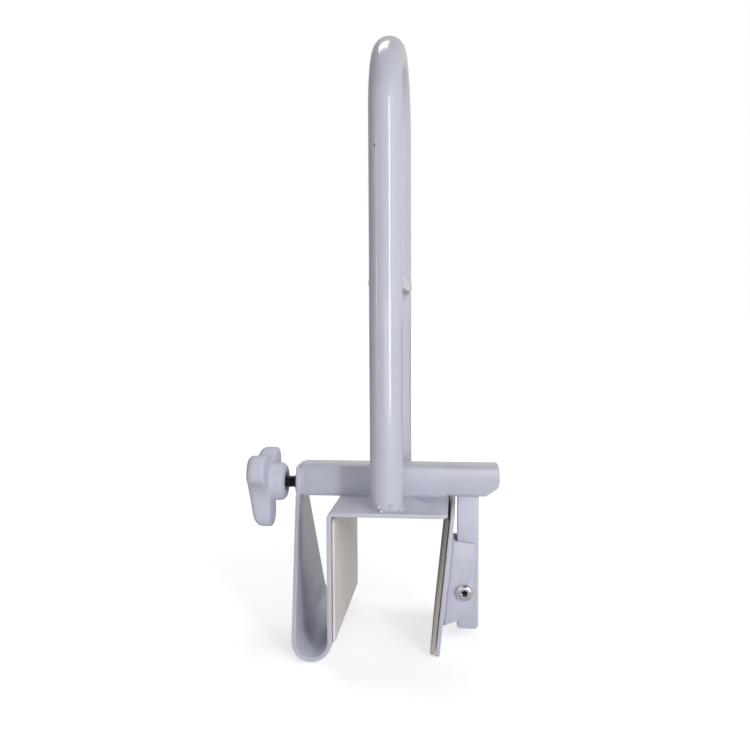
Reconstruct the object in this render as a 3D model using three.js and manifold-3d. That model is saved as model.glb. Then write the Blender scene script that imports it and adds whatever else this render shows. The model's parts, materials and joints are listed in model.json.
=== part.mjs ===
// A grab rail that clamps on the wall of a bathtub, drawn as it hangs open.
// Sizes are in millimetres. X runs across the tub wall, Y along it and Z up.
// The origin lies on the underside of the top plate, which rests on the rim of the tub,
// midway along the plate and under the centre of the rail.
import * as THREE from "three";
import { mergeVertices } from "three/addons/utils/BufferGeometryUtils.js";
import Module from "manifold-3d";

const wasm = await Module();
wasm.setup();

// Clearances and cuts
const seatGap = 0.3; // between faces that are bolted, glued or welded together
const slidingGap = 0.4; // around parts that slide or turn in one another
const cutOverrun = 8; // how far a cut runs past the face that it starts from
const weldSink = 0.8; // how far a weld runs into the sheet that carries it
const mergeTolerance = 1e-4; // corners nearer than this are one corner

// Bent strip: top plate, fixed jaw, loop and strap
const sheet = 3.2;
const frameDepth = 147;
const jawToRail = 44; // outer face of the fixed jaw to the centre of the rail
const plateCornerRadius = 5.5;
const jawBendRadius = 1.5; // inside of the bend between plate and fixed jaw
const loopDrop = 97; // underside of the plate to the centre of the loop
const loopRadius = 16.1; // outside of the loop below the fixed jaw
const strapLean = THREE.MathUtils.degToRad(3.3);
const strapNeckWidth = 33;
const strapNeckRise = 4.1; // top of the plate to the foot of the neck
const strapTopRadius = 4;
const strapTopDrop = 1.5; // top of the beam to the top of the strap
const taperDrop = 108.8; // underside of the plate to where the strap has its full width

// Square beam on the plate
const beamLength = 163.6;
const beamSide = 25;
const beamWall = 1.5;
const beamCornerRadius = 3;
const noseRadius = 4.5;
const noseSlopeLength = 12;
const noseSlopeHeight = 8;
const noseSheet = 1.8;
const slotRadius = 3;

// Rail of bent tube with its crossbar
const railDiameter = 25.4;
const railWall = 1.5;
const railSpacing = 109.8; // between the centres of the two legs
const railHeight = 369.8; // top of the plate to the top of the rail
const crossbarHeight = 173; // top of the plate to the centre of the crossbar
const ventDiameter = 1.8;
const ventHeight = 273; // top of the plate to the vent hole
const ventTurn = THREE.MathUtils.degToRad(-34); // round the leg from its outer side
const weldLeg = 3; // leg of the weld round the foot of each tube
const weldHollowShare = 0.25; // of its leg, left at the middle of the hollow face of a weld
const strapWeldLeg = 3.4; // leg of the welds between beam and strap

// Sliding arm
const armLength = 17.8; // across the tub wall
const armWidth = 17.2; // along the tub wall
const armWall = 1.5;
const armCornerRadius = 2;
const armFootRadius = 3.5;
const footSheet = 1.8;
const armDrop = 108.2; // underside of the plate to the foot of the arm
const armToNose = 16.7; // outer face of the arm as drawn to the nose of the beam
const plateToArm = 6.7; // free end of the plate to the arm as drawn
const travelIn = 40;
const travelOut = 3;
const travelMargin = 1; // from the arm at the end of its travel to the end of the slot
const slideBlockMargin = 1.1; // how far the slide block reaches past the arm

// Screw and knob
const rodDiameter = 10;
const rodRise = 8; // underside of the beam to the axis of the rod
const rodTip = 5; // how far the rod stands out of the slide block as drawn
const collarDiameter = 21;
const collarThickness = 2;
const rodShown = 8.9; // bare rod between the collar and the knob
const pinDiameter = 3;
const pinLength = 12; // short enough to turn with the rod above the floor of the beam
const hubDiameter = 32;
const hubLength = 12.1;
const hubRounding = 5;
const headThickness = 18.7;
const knobReach = 38.8; // axis to the tip of a lobe
const knobValley = 18; // axis to the flute between two lobes
const lobeTipRadius = 12.3;
const knobFrontRounding = 3;
const knobRearRounding = 1.2;
const knobDome = 5; // how far the face of the head falls away to its lobes
const knobLobes = 3;
const insertDiameter = 15;
const insertLength = 14;
const insertDepth = 2; // face of the hub to the metal insert

// Swinging jaw
const jawTilt = THREE.MathUtils.degToRad(6);
const jawWidth = 111;
const jawAbovePivot = 73.1;
const jawBelowPivot = 40;
const jawSetback = 15.4; // pivot to the back of the jaw plate
const jawCornerRadius = 3;
const jawPadThickness = 4.2;
const jawPadTopMargin = 3.6;
const jawPadFootMargin = 0.5;
const jawPadSideMargin = 0.5;
const jawPadCornerRadius = 3;
const pivotInset = 6.3; // inner face of the arm to the pivot
const pivotDrop = 75.6; // underside of the plate to the pivot

// Bracket that carries the jaw on the arm
const bracketSheet = 2.5;
const bracketBendRadius = 3.5;
const bracketRise = 41.3; // pivot to the top of the bracket
const bracketFall = 31.2; // pivot to the lowest corner of the bracket
const bracketLugReach = 8.1; // pivot to the furthest corner of a lug
const bracketCornerRadius = 2.5;
// Corners of a lug. The first number of each pair is a share of the way from the jaw plate to
// the furthest corner of the lug, the second a share of the rise above the pivot or the fall
// below it.
const lugTopShares = [
  [0.724, 0.988],
  [0.866, 0.896],
];
const lugFootShares = [
  [1, -0.314],
  [0.5, -0.804],
];

// Pivot hardware
const boltDiameter = 8;
const boltHeadDiameter = 14.4;
const boltHeadHeight = 4.4;
const boltHeadLand = 1; // rim of the button head
const boltCrownShare = 0.55; // of the head's radius, flat on top of its crown
const boltSocketFlats = 5;
const boltSocketDepth = 2.6;
const boltPastNut = 2;
const washerDiameter = 16;
const washerThickness = 1.6;
const nutFlats = 13;
const nutHeight = 6.5;
const nutChamferShare = 0.5; // depth of the chamfer of a corner as a share of its width

// Fixed pad
const padThickness = 2;
const padWidth = 140;
const padTopMargin = 2.5;
const padFootMargin = 2; // below the centre of the loop
const padCornerRadius = 3;

// Facets: sides of each full circle, and steps of the bend
const hexagonSides = 6;
const tubeSides = 28;
const boreSides = 20;
const arcSegments = 4; // half of the steps of each arc in an outline
const railBendSteps = 22;
const lobeTipSteps = 9;
const fluteSteps = 6;
const roundingSteps = 4;

// Colours from the object: [colour, roughness, metalness]
const finishes = {
  paint: [0xd9dae6, 0.3, 0],
  knob: [0xc9ccdc, 0.38, 0],
  black: [0x0c0c0e, 0.45, 0.5],
  zinc: [0x9a9ca2, 0.35, 0.9],
  chrome: [0xc4c4c6, 0.16, 1],
  brass: [0xb08a4a, 0.35, 0.9],
  pad: [0xc2b7ab, 0.85, 0],
  jawPad: [0x8c8379, 0.85, 0],
};

// Places worked out from the sizes
const plateTop = sheet;
const jawOuter = -jawToRail;
const jawInner = jawOuter + sheet;
const loopCentre = jawInner - loopRadius;
const loopInnerRadius = loopRadius - sheet;
const beamBottom = plateTop + seatGap;
const beamTop = beamBottom + beamSide;
const beamInside = beamSide - 2 * beamWall;
const neckInner = strapFace(loopInnerRadius, 0);
const beamStart = neckInner + seatGap;
const beamEnd = beamStart + beamLength;
const strapTop = beamTop - strapTopDrop;
const strapOuter = neckInner - sheet;
const railRadius = railDiameter / 2;
const rodAxis = beamBottom + rodRise;
const armOuter = beamEnd - armToNose;
const armInner = armOuter - armLength;
const plateEnd = armInner - plateToArm;
const slotWidth = armWidth + 2 * slidingGap;
const slotStart = armInner - travelIn - travelMargin;
const slotEnd = armOuter + travelOut + travelMargin;
const blockBottom = beamBottom + beamWall + slidingGap;
const armTop = blockBottom - seatGap;
const pivotX = armInner + pivotInset;
const pinX = beamStart + pinDiameter / 2;
const lugInnerFace = armWidth / 2 + washerThickness + 2 * seatGap;
const lugOuterFace = lugInnerFace + bracketSheet;
const innerWasher = armWidth / 2 + seatGap;
const outerWasher = lugOuterFace + seatGap;
const nutSeat = outerWasher + washerThickness + seatGap;
const boltHole = boltDiameter + 2 * seatGap;
const rodHole = rodDiameter + 2 * slidingGap;
const collarFace = strapOuter - seatGap - collarThickness;
const hubFace = collarFace - rodShown;
const headFace = hubFace - hubLength;
const knobFront = headFace - headThickness;

/** Where a face of the leaning strap stands across the wall at a height. */
function strapFace(radius, height) {
  const startHeight = -loopDrop - radius * Math.sin(strapLean);
  return loopCentre - radius * Math.cos(strapLean) - (height - startHeight) * Math.tan(strapLean);
}

/** Turns a closed geometry into a solid that can be cut and joined. */
function solidOf(geometry) {
  const bare = new THREE.BufferGeometry();
  bare.setAttribute("position", geometry.getAttribute("position"));
  bare.setIndex(geometry.getIndex());
  const merged = mergeVertices(bare, mergeTolerance);
  const vertProperties = new Float32Array(merged.getAttribute("position").array);
  const triVerts = new Uint32Array(merged.getIndex().array);
  return new wasm.Manifold(new wasm.Mesh({ numProp: 3, vertProperties, triVerts }));
}

/** Turns a solid back into a geometry with flat faces. */
function geometryOf(solid) {
  const mesh = solid.getMesh();
  const geometry = new THREE.BufferGeometry();
  const positions = new Float32Array(mesh.vertProperties);
  geometry.setAttribute("position", new THREE.BufferAttribute(positions, mesh.numProp));
  geometry.setIndex(new THREE.BufferAttribute(new Uint32Array(mesh.triVerts), 1));
  const flat = geometry.toNonIndexed();
  flat.computeVertexNormals();
  return flat;
}

/** A prism of an outline drawn in X and Z, centred on the plane Y = 0. */
function sidePrism(shape, width, segments = arcSegments) {
  const geometry = new THREE.ExtrudeGeometry(shape, {
    depth: width,
    bevelEnabled: false,
    curveSegments: segments,
  });
  return solidOf(geometry.rotateX(Math.PI / 2).translate(0, width / 2, 0));
}

/** A prism of an outline drawn in Y and Z, from one place on X to another. */
function endPrism(shape, from, to, segments = arcSegments) {
  const geometry = new THREE.ExtrudeGeometry(shape, {
    depth: to - from,
    bevelEnabled: false,
    curveSegments: segments,
  });
  const turn = new THREE.Matrix4().makeBasis(
    new THREE.Vector3(0, 1, 0),
    new THREE.Vector3(0, 0, 1),
    new THREE.Vector3(1, 0, 0),
  );
  return solidOf(geometry.applyMatrix4(turn).translate(from, 0, 0));
}

/** A prism of an outline drawn in X and Y, from one height to another. */
function uprightPrism(shape, from, to, segments = arcSegments) {
  const geometry = new THREE.ExtrudeGeometry(shape, {
    depth: to - from,
    bevelEnabled: false,
    curveSegments: segments,
  });
  return solidOf(geometry.translate(0, 0, from));
}

/** A rectangle with round corners, given by its low and high corner. */
function roundedRectangle(lowX, lowY, highX, highY, radius) {
  const shape = new THREE.Shape();
  shape.moveTo(lowX + radius, lowY);
  shape.lineTo(highX - radius, lowY);
  shape.absarc(highX - radius, lowY + radius, radius, -Math.PI / 2, 0);
  shape.lineTo(highX, highY - radius);
  shape.absarc(highX - radius, highY - radius, radius, 0, Math.PI / 2);
  shape.lineTo(lowX + radius, highY);
  shape.absarc(lowX + radius, highY - radius, radius, Math.PI / 2, Math.PI);
  shape.lineTo(lowX, lowY + radius);
  shape.absarc(lowX + radius, lowY + radius, radius, Math.PI, -Math.PI / 2);
  return shape;
}

/** A block given by its low and high corner. */
function block(low, high) {
  const size = high.map((value, i) => value - low[i]);
  const middle = high.map((value, i) => (value + low[i]) / 2);
  return solidOf(new THREE.BoxGeometry(...size).translate(...middle));
}

/** A round or many-sided bar along X, Y or Z between two places on that axis. */
function bar(axis, radius, from, to, sides, centre) {
  const geometry = new THREE.CylinderGeometry(radius, radius, to - from, sides);
  if (axis === "x") geometry.rotateZ(-Math.PI / 2);
  if (axis === "z") geometry.rotateX(Math.PI / 2);
  const middle = (from + to) / 2;
  const places = { x: [middle, ...centre], y: [centre[0], middle, centre[1]], z: [...centre, middle] };
  return solidOf(geometry.translate(...places[axis]));
}

/** The distance from the centre to a corner of a hexagon with the given width over its flats. */
function hexagonCorner(flats) {
  return flats / Math.sqrt(3);
}

/** A hexagonal bar on the pivot, along Y, with two flats level. */
function hexagonBar(flats, from, to) {
  const corner = hexagonCorner(flats);
  const geometry = new THREE.CylinderGeometry(corner, corner, to - from, hexagonSides);
  geometry.rotateY(Math.PI / hexagonSides);
  return solidOf(geometry.translate(pivotX, (from + to) / 2, -pivotDrop));
}

/** A solid turned round the Z axis from a profile of [radius, height] points. */
function turned(profile, sides) {
  const points = profile.map(([radius, height]) => new THREE.Vector2(radius, height));
  return solidOf(new THREE.LatheGeometry(points, sides).rotateX(Math.PI / 2));
}

/** A closed skin through rings of points, with a centre point closing each end. */
function skin(rings, startCentre, endCentre) {
  const count = rings[0].length;
  const positions = [...rings.flat(), startCentre, endCentre].flatMap((p) => [p.x, p.y, p.z]);
  const startIndex = rings.length * count;
  const index = [];
  for (let side = 0; side < count; side += 1) {
    const next = (side + 1) % count;
    for (let ring = 0; ring + 1 < rings.length; ring += 1) {
      const a = ring * count + side;
      const b = ring * count + next;
      index.push(a, b, b + count, a, b + count, a + count);
    }
    const last = (rings.length - 1) * count;
    index.push(startIndex, next, side, startIndex + 1, last + side, last + next);
  }
  const geometry = new THREE.BufferGeometry();
  geometry.setAttribute("position", new THREE.Float32BufferAttribute(positions, 3));
  geometry.setIndex(index);
  return solidOf(geometry);
}

/** A path given station by station, so that a straight run takes one step and a bend many. */
class StationPath extends THREE.Curve {
  constructor(stations) {
    super();
    this.stations = stations;
  }
  station(share) {
    return this.stations[Math.round(share * (this.stations.length - 1))];
  }
  getPoint(share) {
    return this.station(share).point.clone();
  }
  getPointAt(share) {
    return this.getPoint(share);
  }
  getTangentAt(share) {
    return this.station(share).tangent.clone();
  }
}

// Clamp frame

/** The strip seen from the side: plate, fixed jaw, loop, leaning strap and upright neck. */
function stripProfile() {
  const lean = strapLean;
  const shape = new THREE.Shape();
  shape.moveTo(plateEnd, 0);
  shape.lineTo(plateEnd, plateTop);
  shape.lineTo(jawInner + jawBendRadius, plateTop);
  const bend = jawInner + jawBendRadius;
  shape.absarc(bend, -jawBendRadius, jawBendRadius + sheet, Math.PI / 2, Math.PI);
  shape.lineTo(jawOuter, -loopDrop);
  shape.absarc(loopCentre, -loopDrop, loopInnerRadius, 0, lean - Math.PI, true);
  shape.lineTo(neckInner, 0);
  shape.lineTo(neckInner, strapTop);
  shape.lineTo(strapOuter, strapTop);
  shape.lineTo(strapOuter, 0);
  shape.absarc(loopCentre, -loopDrop, loopRadius, lean - Math.PI, 0);
  shape.lineTo(jawInner, -jawBendRadius);
  shape.absarc(bend, -jawBendRadius, jawBendRadius, Math.PI, Math.PI / 2, true);
  return shape;
}

/** The waste beside the strap on one side, from the round top corner down along the taper. */
function taperWaste() {
  const neck = strapNeckWidth / 2;
  const edge = frameDepth / 2;
  const shape = new THREE.Shape();
  shape.moveTo(edge + cutOverrun, strapTop + cutOverrun);
  shape.lineTo(neck - strapTopRadius, strapTop + cutOverrun);
  shape.lineTo(neck - strapTopRadius, strapTop);
  shape.absarc(neck - strapTopRadius, strapTop - strapTopRadius, strapTopRadius, Math.PI / 2, 0, true);
  shape.lineTo(neck, plateTop + strapNeckRise);
  shape.lineTo(edge, -taperDrop);
  shape.lineTo(edge + cutOverrun, -taperDrop);
  return shape;
}

/** The corner that is rounded away from the free end of the plate. */
function plateCornerWaste() {
  const edge = frameDepth / 2;
  const radius = plateCornerRadius;
  const shape = new THREE.Shape();
  shape.moveTo(plateEnd - radius, edge);
  shape.absarc(plateEnd - radius, edge - radius, radius, Math.PI / 2, 0, true);
  shape.lineTo(plateEnd + cutOverrun, edge - radius);
  shape.lineTo(plateEnd + cutOverrun, edge + cutOverrun);
  shape.lineTo(plateEnd - radius, edge + cutOverrun);
  return shape;
}

/** The slot that the arm travels in, cut through the plate and the floor of the beam. */
function slotOutline(end) {
  return roundedRectangle(slotStart, -slotWidth / 2, end, slotWidth / 2, slotRadius);
}

/** The weld round the foot of a leg. */
function footWeld(y) {
  const inner = railRadius + seatGap;
  const profile = [
    [inner, -weldSink],
    [inner + weldLeg, -weldSink],
    [inner + weldLeg, 0],
    [inner + weldLeg * weldHollowShare, weldLeg * weldHollowShare],
    [inner, weldLeg],
    [inner, -weldSink],
  ];
  return turned(profile, tubeSides).translate([0, y, plateTop]);
}

/** The weld in the corner between the strap and one side of the beam. */
function strapWeld() {
  const side = beamSide / 2 + seatGap;
  const shape = new THREE.Shape();
  shape.moveTo(neckInner - weldSink, side);
  shape.lineTo(neckInner + strapWeldLeg, side);
  shape.quadraticCurveTo(neckInner, side, neckInner, side + strapWeldLeg);
  shape.lineTo(neckInner - weldSink, side + strapWeldLeg);
  return uprightPrism(shape, beamBottom, strapTop - strapTopRadius);
}

/** The bent strip with its slot and its hole for the rod, and the welds that run on it. */
function clampFrame() {
  const waste = endPrism(taperWaste(), strapOuter - cutOverrun, loopCentre);
  const corner = uprightPrism(plateCornerWaste(), -cutOverrun, plateTop + cutOverrun);
  const slot = uprightPrism(slotOutline(plateEnd + cutOverrun), -cutOverrun, plateTop + cutOverrun);
  const hole = rodBore(rodHole / 2, strapOuter - cutOverrun, neckInner + cutOverrun);
  let frame = sidePrism(stripProfile(), frameDepth, 2 * arcSegments);
  for (const cut of [waste, corner]) {
    frame = frame.subtract(cut).subtract(cut.mirror([0, 1, 0]));
  }
  frame = frame.subtract(slot).subtract(hole);
  const weld = strapWeld();
  const feet = [-railSpacing / 2, railSpacing / 2];
  const welds = [weld, weld.mirror([0, 1, 0]), ...feet.map(footWeld)];
  return welds.reduce((whole, piece) => whole.add(piece), frame);
}

/** The rubber pad glued to the fixed jaw. */
function fixedPad() {
  const outline = roundedRectangle(
    -padWidth / 2,
    -loopDrop - padFootMargin,
    padWidth / 2,
    -padTopMargin,
    padCornerRadius,
  );
  const face = jawInner + seatGap;
  return endPrism(outline, face, face + padThickness);
}

// Rail

/** The stations of the rail's centre line: up one leg, round the bend and down the other. */
function railPath() {
  const foot = plateTop + seatGap;
  const radius = railSpacing / 2;
  const spring = plateTop + railHeight - railRadius - radius;
  const stations = [{ point: new THREE.Vector3(0, -radius, foot), tangent: new THREE.Vector3(0, 0, 1) }];
  for (let step = 0; step <= railBendSteps; step += 1) {
    const turn = (Math.PI * step) / railBendSteps;
    stations.push({
      point: new THREE.Vector3(0, -radius * Math.cos(turn), spring + radius * Math.sin(turn)),
      tangent: new THREE.Vector3(0, Math.sin(turn), Math.cos(turn)),
    });
  }
  stations.push({ point: new THREE.Vector3(0, radius, foot), tangent: new THREE.Vector3(0, 0, -1) });
  return new StationPath(stations);
}

/** A ring-shaped section for tubes. */
function tubeSection(outerRadius, innerRadius, sides) {
  const ring = (radius) =>
    Array.from({ length: sides }, (_, i) => {
      const turn = (Math.PI * (2 * i + 1)) / sides;
      return new THREE.Vector2(radius * Math.cos(turn), radius * Math.sin(turn));
    });
  const shape = new THREE.Shape(ring(outerRadius));
  shape.holes.push(new THREE.Path(ring(innerRadius)));
  return shape;
}

/** The bent tube with the vent hole in its near leg. */
function grabRail() {
  const path = railPath();
  const geometry = new THREE.ExtrudeGeometry(tubeSection(railRadius, railRadius - railWall, tubeSides), {
    extrudePath: path,
    steps: path.stations.length - 1,
    bevelEnabled: false,
  });
  const drill = new THREE.CylinderGeometry(ventDiameter / 2, ventDiameter / 2, railDiameter, boreSides / 2);
  drill.translate(0, -railRadius, 0).rotateZ(ventTurn);
  drill.translate(0, -railSpacing / 2, plateTop + ventHeight);
  return solidOf(geometry).subtract(solidOf(drill));
}

/** The tube between the legs, its ends coped to fit round them. */
function crossbar() {
  const section = tubeSection(railRadius, railRadius - railWall, tubeSides);
  const tube = sidePrism(section, railSpacing).translate([0, 0, plateTop + crossbarHeight]);
  const low = plateTop + crossbarHeight - railDiameter;
  const high = plateTop + crossbarHeight + railDiameter;
  const cope = railRadius + seatGap;
  const legs = [-railSpacing / 2, railSpacing / 2].map((y) => bar("z", cope, low, high, tubeSides, [0, y]));
  return legs.reduce((whole, leg) => whole.subtract(leg), tube);
}

// Beam

/** The beam seen from the side, with its rounded and sloping nose. */
function beamProfile() {
  const shape = new THREE.Shape();
  shape.moveTo(beamStart, beamBottom);
  shape.lineTo(beamEnd - noseSlopeLength, beamBottom);
  const chin = beamBottom + noseSlopeHeight;
  const run = (noseRadius * noseSlopeLength) / noseSlopeHeight;
  shape.lineTo(beamEnd - run / 2, chin - noseRadius / 2);
  shape.quadraticCurveTo(beamEnd, chin, beamEnd, chin + noseRadius);
  shape.lineTo(beamEnd, beamTop - noseRadius);
  shape.absarc(beamEnd - noseRadius, beamTop - noseRadius, noseRadius, 0, Math.PI / 2);
  shape.lineTo(beamStart, beamTop);
  return shape;
}

/** The square section of the beam, or of its inside when drawn in by the wall. */
function beamSection(inset) {
  const half = beamSide / 2 - inset;
  const radius = beamCornerRadius - inset;
  return roundedRectangle(-half, beamBottom + inset, half, beamTop - inset, radius);
}

/** The square tube with its shaped nose and the slot in its floor. */
function beamTube() {
  const whole = endPrism(beamSection(0), beamStart, beamEnd);
  const nosed = whole.intersect(sidePrism(beamProfile(), beamSide + cutOverrun));
  const inside = endPrism(beamSection(beamWall), beamStart - cutOverrun, beamEnd + cutOverrun);
  const slot = uprightPrism(slotOutline(slotEnd), beamBottom - cutOverrun, blockBottom);
  return nosed.subtract(inside).subtract(slot);
}

/** The bent plate that closes the nose between the side walls of the beam. */
function nosePlate() {
  const inset = beamWall + seatGap;
  const filled = sidePrism(beamProfile(), beamInside - 2 * seatGap);
  const strip = filled.subtract(sidePrism(beamProfile(), beamSide).translate([-noseSheet, 0, 0]));
  return strip.intersect(endPrism(beamSection(inset), beamStart, beamEnd + cutOverrun));
}

// Sliding arm

/** The block that runs in the beam on the thread of the rod. */
function slideBlock() {
  const half = beamInside / 2 - slidingGap;
  const top = beamTop - beamWall - slidingGap;
  const outline = roundedRectangle(-half, blockBottom, half, top, beamCornerRadius - beamWall);
  const from = armInner - slideBlockMargin;
  const to = armOuter + slideBlockMargin;
  return endPrism(outline, from, to).subtract(rodClearance(from, to));
}

/** The arm seen from the side, with its round foot. */
function armProfile() {
  const radius = armFootRadius;
  const shape = new THREE.Shape();
  shape.moveTo(armInner, armTop);
  shape.lineTo(armInner, radius - armDrop);
  shape.absarc(armInner + radius, radius - armDrop, radius, Math.PI, -Math.PI / 2);
  shape.lineTo(armOuter - radius, -armDrop);
  shape.absarc(armOuter - radius, radius - armDrop, radius, -Math.PI / 2, 0);
  shape.lineTo(armOuter, armTop);
  return shape;
}

/** The section of the arm, or of its inside when drawn in by the wall. */
function armSection(inset) {
  const half = armWidth / 2 - inset;
  return roundedRectangle(armInner + inset, -half, armOuter - inset, half, armCornerRadius - inset);
}

/** The hollow arm, open at the top where the slide block sits on it. */
function armTube() {
  const whole = uprightPrism(armSection(0), -armDrop, armTop);
  const footed = whole.intersect(sidePrism(armProfile(), armWidth + cutOverrun));
  const inside = uprightPrism(armSection(armWall), -armDrop - cutOverrun, armTop + cutOverrun);
  return footed.subtract(inside).subtract(pivotBore(armWidth));
}

/** The bent plate that closes the foot between the walls of the arm. */
function footPlate() {
  const inset = armWall + seatGap;
  const filled = sidePrism(armProfile(), armWidth - 2 * inset);
  const strip = filled.subtract(sidePrism(armProfile(), armWidth).translate([0, 0, footSheet]));
  const inside = roundedRectangle(armInner + inset, -armWidth, armOuter - inset, armWidth, seatGap);
  return strip.intersect(uprightPrism(inside, -armDrop - cutOverrun, -armDrop + armFootRadius + footSheet));
}

// Pivot hardware

/** A hole for the pivot bolt through a width centred on the arm. */
function pivotBore(width) {
  const half = width / 2 + cutOverrun;
  return bar("y", boltHole / 2, -half, half, boreSides, [pivotX, -pivotDrop]);
}

/** A button-head bolt with a hexagon socket, its head outside the near lug. */
function pivotBolt() {
  const headSeat = -lugOuterFace - seatGap;
  const headTop = headSeat - boltHeadHeight;
  const crownSteps = 2 * arcSegments;
  const profile = [
    [0, 0],
    [boltHeadDiameter / 2, 0],
  ];
  for (let step = 0; step <= crownSteps; step += 1) {
    const turn = (Math.PI / 2) * (step / crownSteps);
    const drawn = boltCrownShare + (1 - boltCrownShare) * Math.cos(turn);
    const height = boltHeadLand + (boltHeadHeight - boltHeadLand) * Math.sin(turn);
    profile.push([(drawn * boltHeadDiameter) / 2, height]);
  }
  profile.push([0, boltHeadHeight]);
  const head = turned(profile, tubeSides).rotate([90, 0, 0]).translate([pivotX, headSeat, -pivotDrop]);
  const socket = hexagonBar(boltSocketFlats, headTop - cutOverrun, headTop + boltSocketDepth);
  const tip = nutSeat + nutHeight + boltPastNut;
  const shank = bar("y", boltDiameter / 2, headSeat - weldSink, tip, boreSides, [pivotX, -pivotDrop]);
  return head.subtract(socket).add(shank);
}

/** A flat washer on the bolt. */
function washer(from) {
  const to = from + washerThickness;
  const disc = bar("y", washerDiameter / 2, from, to, tubeSides, [pivotX, -pivotDrop]);
  return disc.subtract(pivotBore(2 * Math.max(-from, to)));
}

/** The chamfered hexagon nut outside the far lug. */
function pivotNut() {
  const corner = hexagonCorner(nutFlats);
  const chamfer = (corner - nutFlats / 2) * nutChamferShare;
  const profile = [
    [0, 0],
    [nutFlats / 2, 0],
    [corner, chamfer],
    [corner, nutHeight - chamfer],
    [nutFlats / 2, nutHeight],
    [0, nutHeight],
  ];
  const crown = turned(profile, tubeSides).rotate([-90, 0, 0]).translate([pivotX, nutSeat, -pivotDrop]);
  const hexagon = hexagonBar(nutFlats, nutSeat, nutSeat + nutHeight);
  return hexagon.intersect(crown).subtract(pivotBore(2 * (nutSeat + nutHeight)));
}

// Swinging jaw. It is drawn upright round the pivot at the origin, and then tilted and placed.

/** Tilts a solid drawn round the pivot and moves it there. */
function atPivot(solid) {
  const tilted = solid.rotate([0, THREE.MathUtils.radToDeg(jawTilt), 0]);
  return tilted.translate([pivotX, 0, -pivotDrop]);
}

/** The outline of a lug, from the jaw plate out to the free edge and back. */
function lugOutline() {
  const back = -jawSetback + seatGap;
  const reach = bracketLugReach - back;
  const place = ([out, up]) => [back + out * reach, up > 0 ? up * bracketRise : up * bracketFall];
  const [shoulder, cheek] = lugTopShares.map(place);
  const [hip, shin] = lugFootShares.map(place);
  const shape = new THREE.Shape();
  shape.moveTo(back, -bracketFall);
  shape.lineTo(...shin);
  shape.lineTo(hip[0] - bracketCornerRadius, hip[1] - bracketCornerRadius);
  shape.quadraticCurveTo(...hip, hip[0], hip[1] + bracketCornerRadius);
  shape.lineTo(...cheek);
  shape.quadraticCurveTo(cheek[0], shoulder[1], ...shoulder);
  shape.lineTo(back, bracketRise);
  return shape;
}

/** The channel that is welded to the jaw plate and straddles the arm. */
function clevisBracket() {
  const back = -jawSetback + seatGap;
  const solid = sidePrism(lugOutline(), 2 * lugOuterFace);
  const hollow = block(
    [back + bracketSheet, -lugInnerFace, -bracketFall - cutOverrun],
    [bracketLugReach + cutOverrun, lugInnerFace, bracketRise + cutOverrun],
  );
  const front = bracketLugReach + cutOverrun + bracketBendRadius;
  const channel = roundedRectangle(back, -lugOuterFace, front, lugOuterFace, bracketBendRadius);
  const envelope = uprightPrism(channel, -bracketFall - cutOverrun, bracketRise + cutOverrun);
  const half = lugOuterFace + cutOverrun;
  const bore = bar("y", boltHole / 2, -half, half, boreSides, [0, 0]);
  return atPivot(solid.intersect(envelope).subtract(hollow).subtract(bore));
}

/** The plate that presses on the outside of the tub wall. */
function jawPlate() {
  const half = jawWidth / 2;
  const outline = roundedRectangle(-half, -jawBelowPivot, half, jawAbovePivot, jawCornerRadius);
  return atPivot(endPrism(outline, -jawSetback - sheet, -jawSetback));
}

/** The pad glued to the face of the jaw plate. */
function jawPad() {
  const half = jawWidth / 2 - jawPadSideMargin;
  const top = jawAbovePivot - jawPadTopMargin;
  const foot = -jawBelowPivot + jawPadFootMargin;
  const outline = roundedRectangle(-half, foot, half, top, jawPadCornerRadius);
  const seat = -jawSetback - sheet - seatGap;
  return atPivot(endPrism(outline, seat - jawPadThickness, seat));
}

// Screw and knob

/** The rod from the middle of the knob's head to past the slide block, with its pin hole. */
function threadedRod() {
  const tip = armOuter + slideBlockMargin + rodTip;
  const rod = rodBore(rodDiameter / 2, headFace - headThickness / 2, tip);
  const hole = pinDiameter / 2 + seatGap;
  return rod.subtract(bar("y", hole, -rodDiameter, rodDiameter, boreSides, [pinX, rodAxis]));
}

/** The pin across the rod that keeps it from sliding out through the strap. */
function retainingPin() {
  return bar("y", pinDiameter / 2, -pinLength / 2, pinLength / 2, boreSides, [pinX, rodAxis]);
}

/** The collar fixed on the rod, which bears on the strap when the knob is tightened. */
function thrustCollar() {
  const to = collarFace + collarThickness;
  const disc = bar("x", collarDiameter / 2, collarFace, to, tubeSides, [0, rodAxis]);
  return disc.subtract(rodClearance(collarFace, to));
}

/** A round tool on the axis of the rod, between two places on X. */
function rodBore(radius, from, to) {
  return bar("x", radius, from, to, boreSides, [0, rodAxis]);
}

/** A bore that clears the rod by a seat gap and runs past two places on X. */
function rodClearance(from, to) {
  return rodBore(rodDiameter / 2 + seatGap, from - cutOverrun, to + cutOverrun);
}

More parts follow.
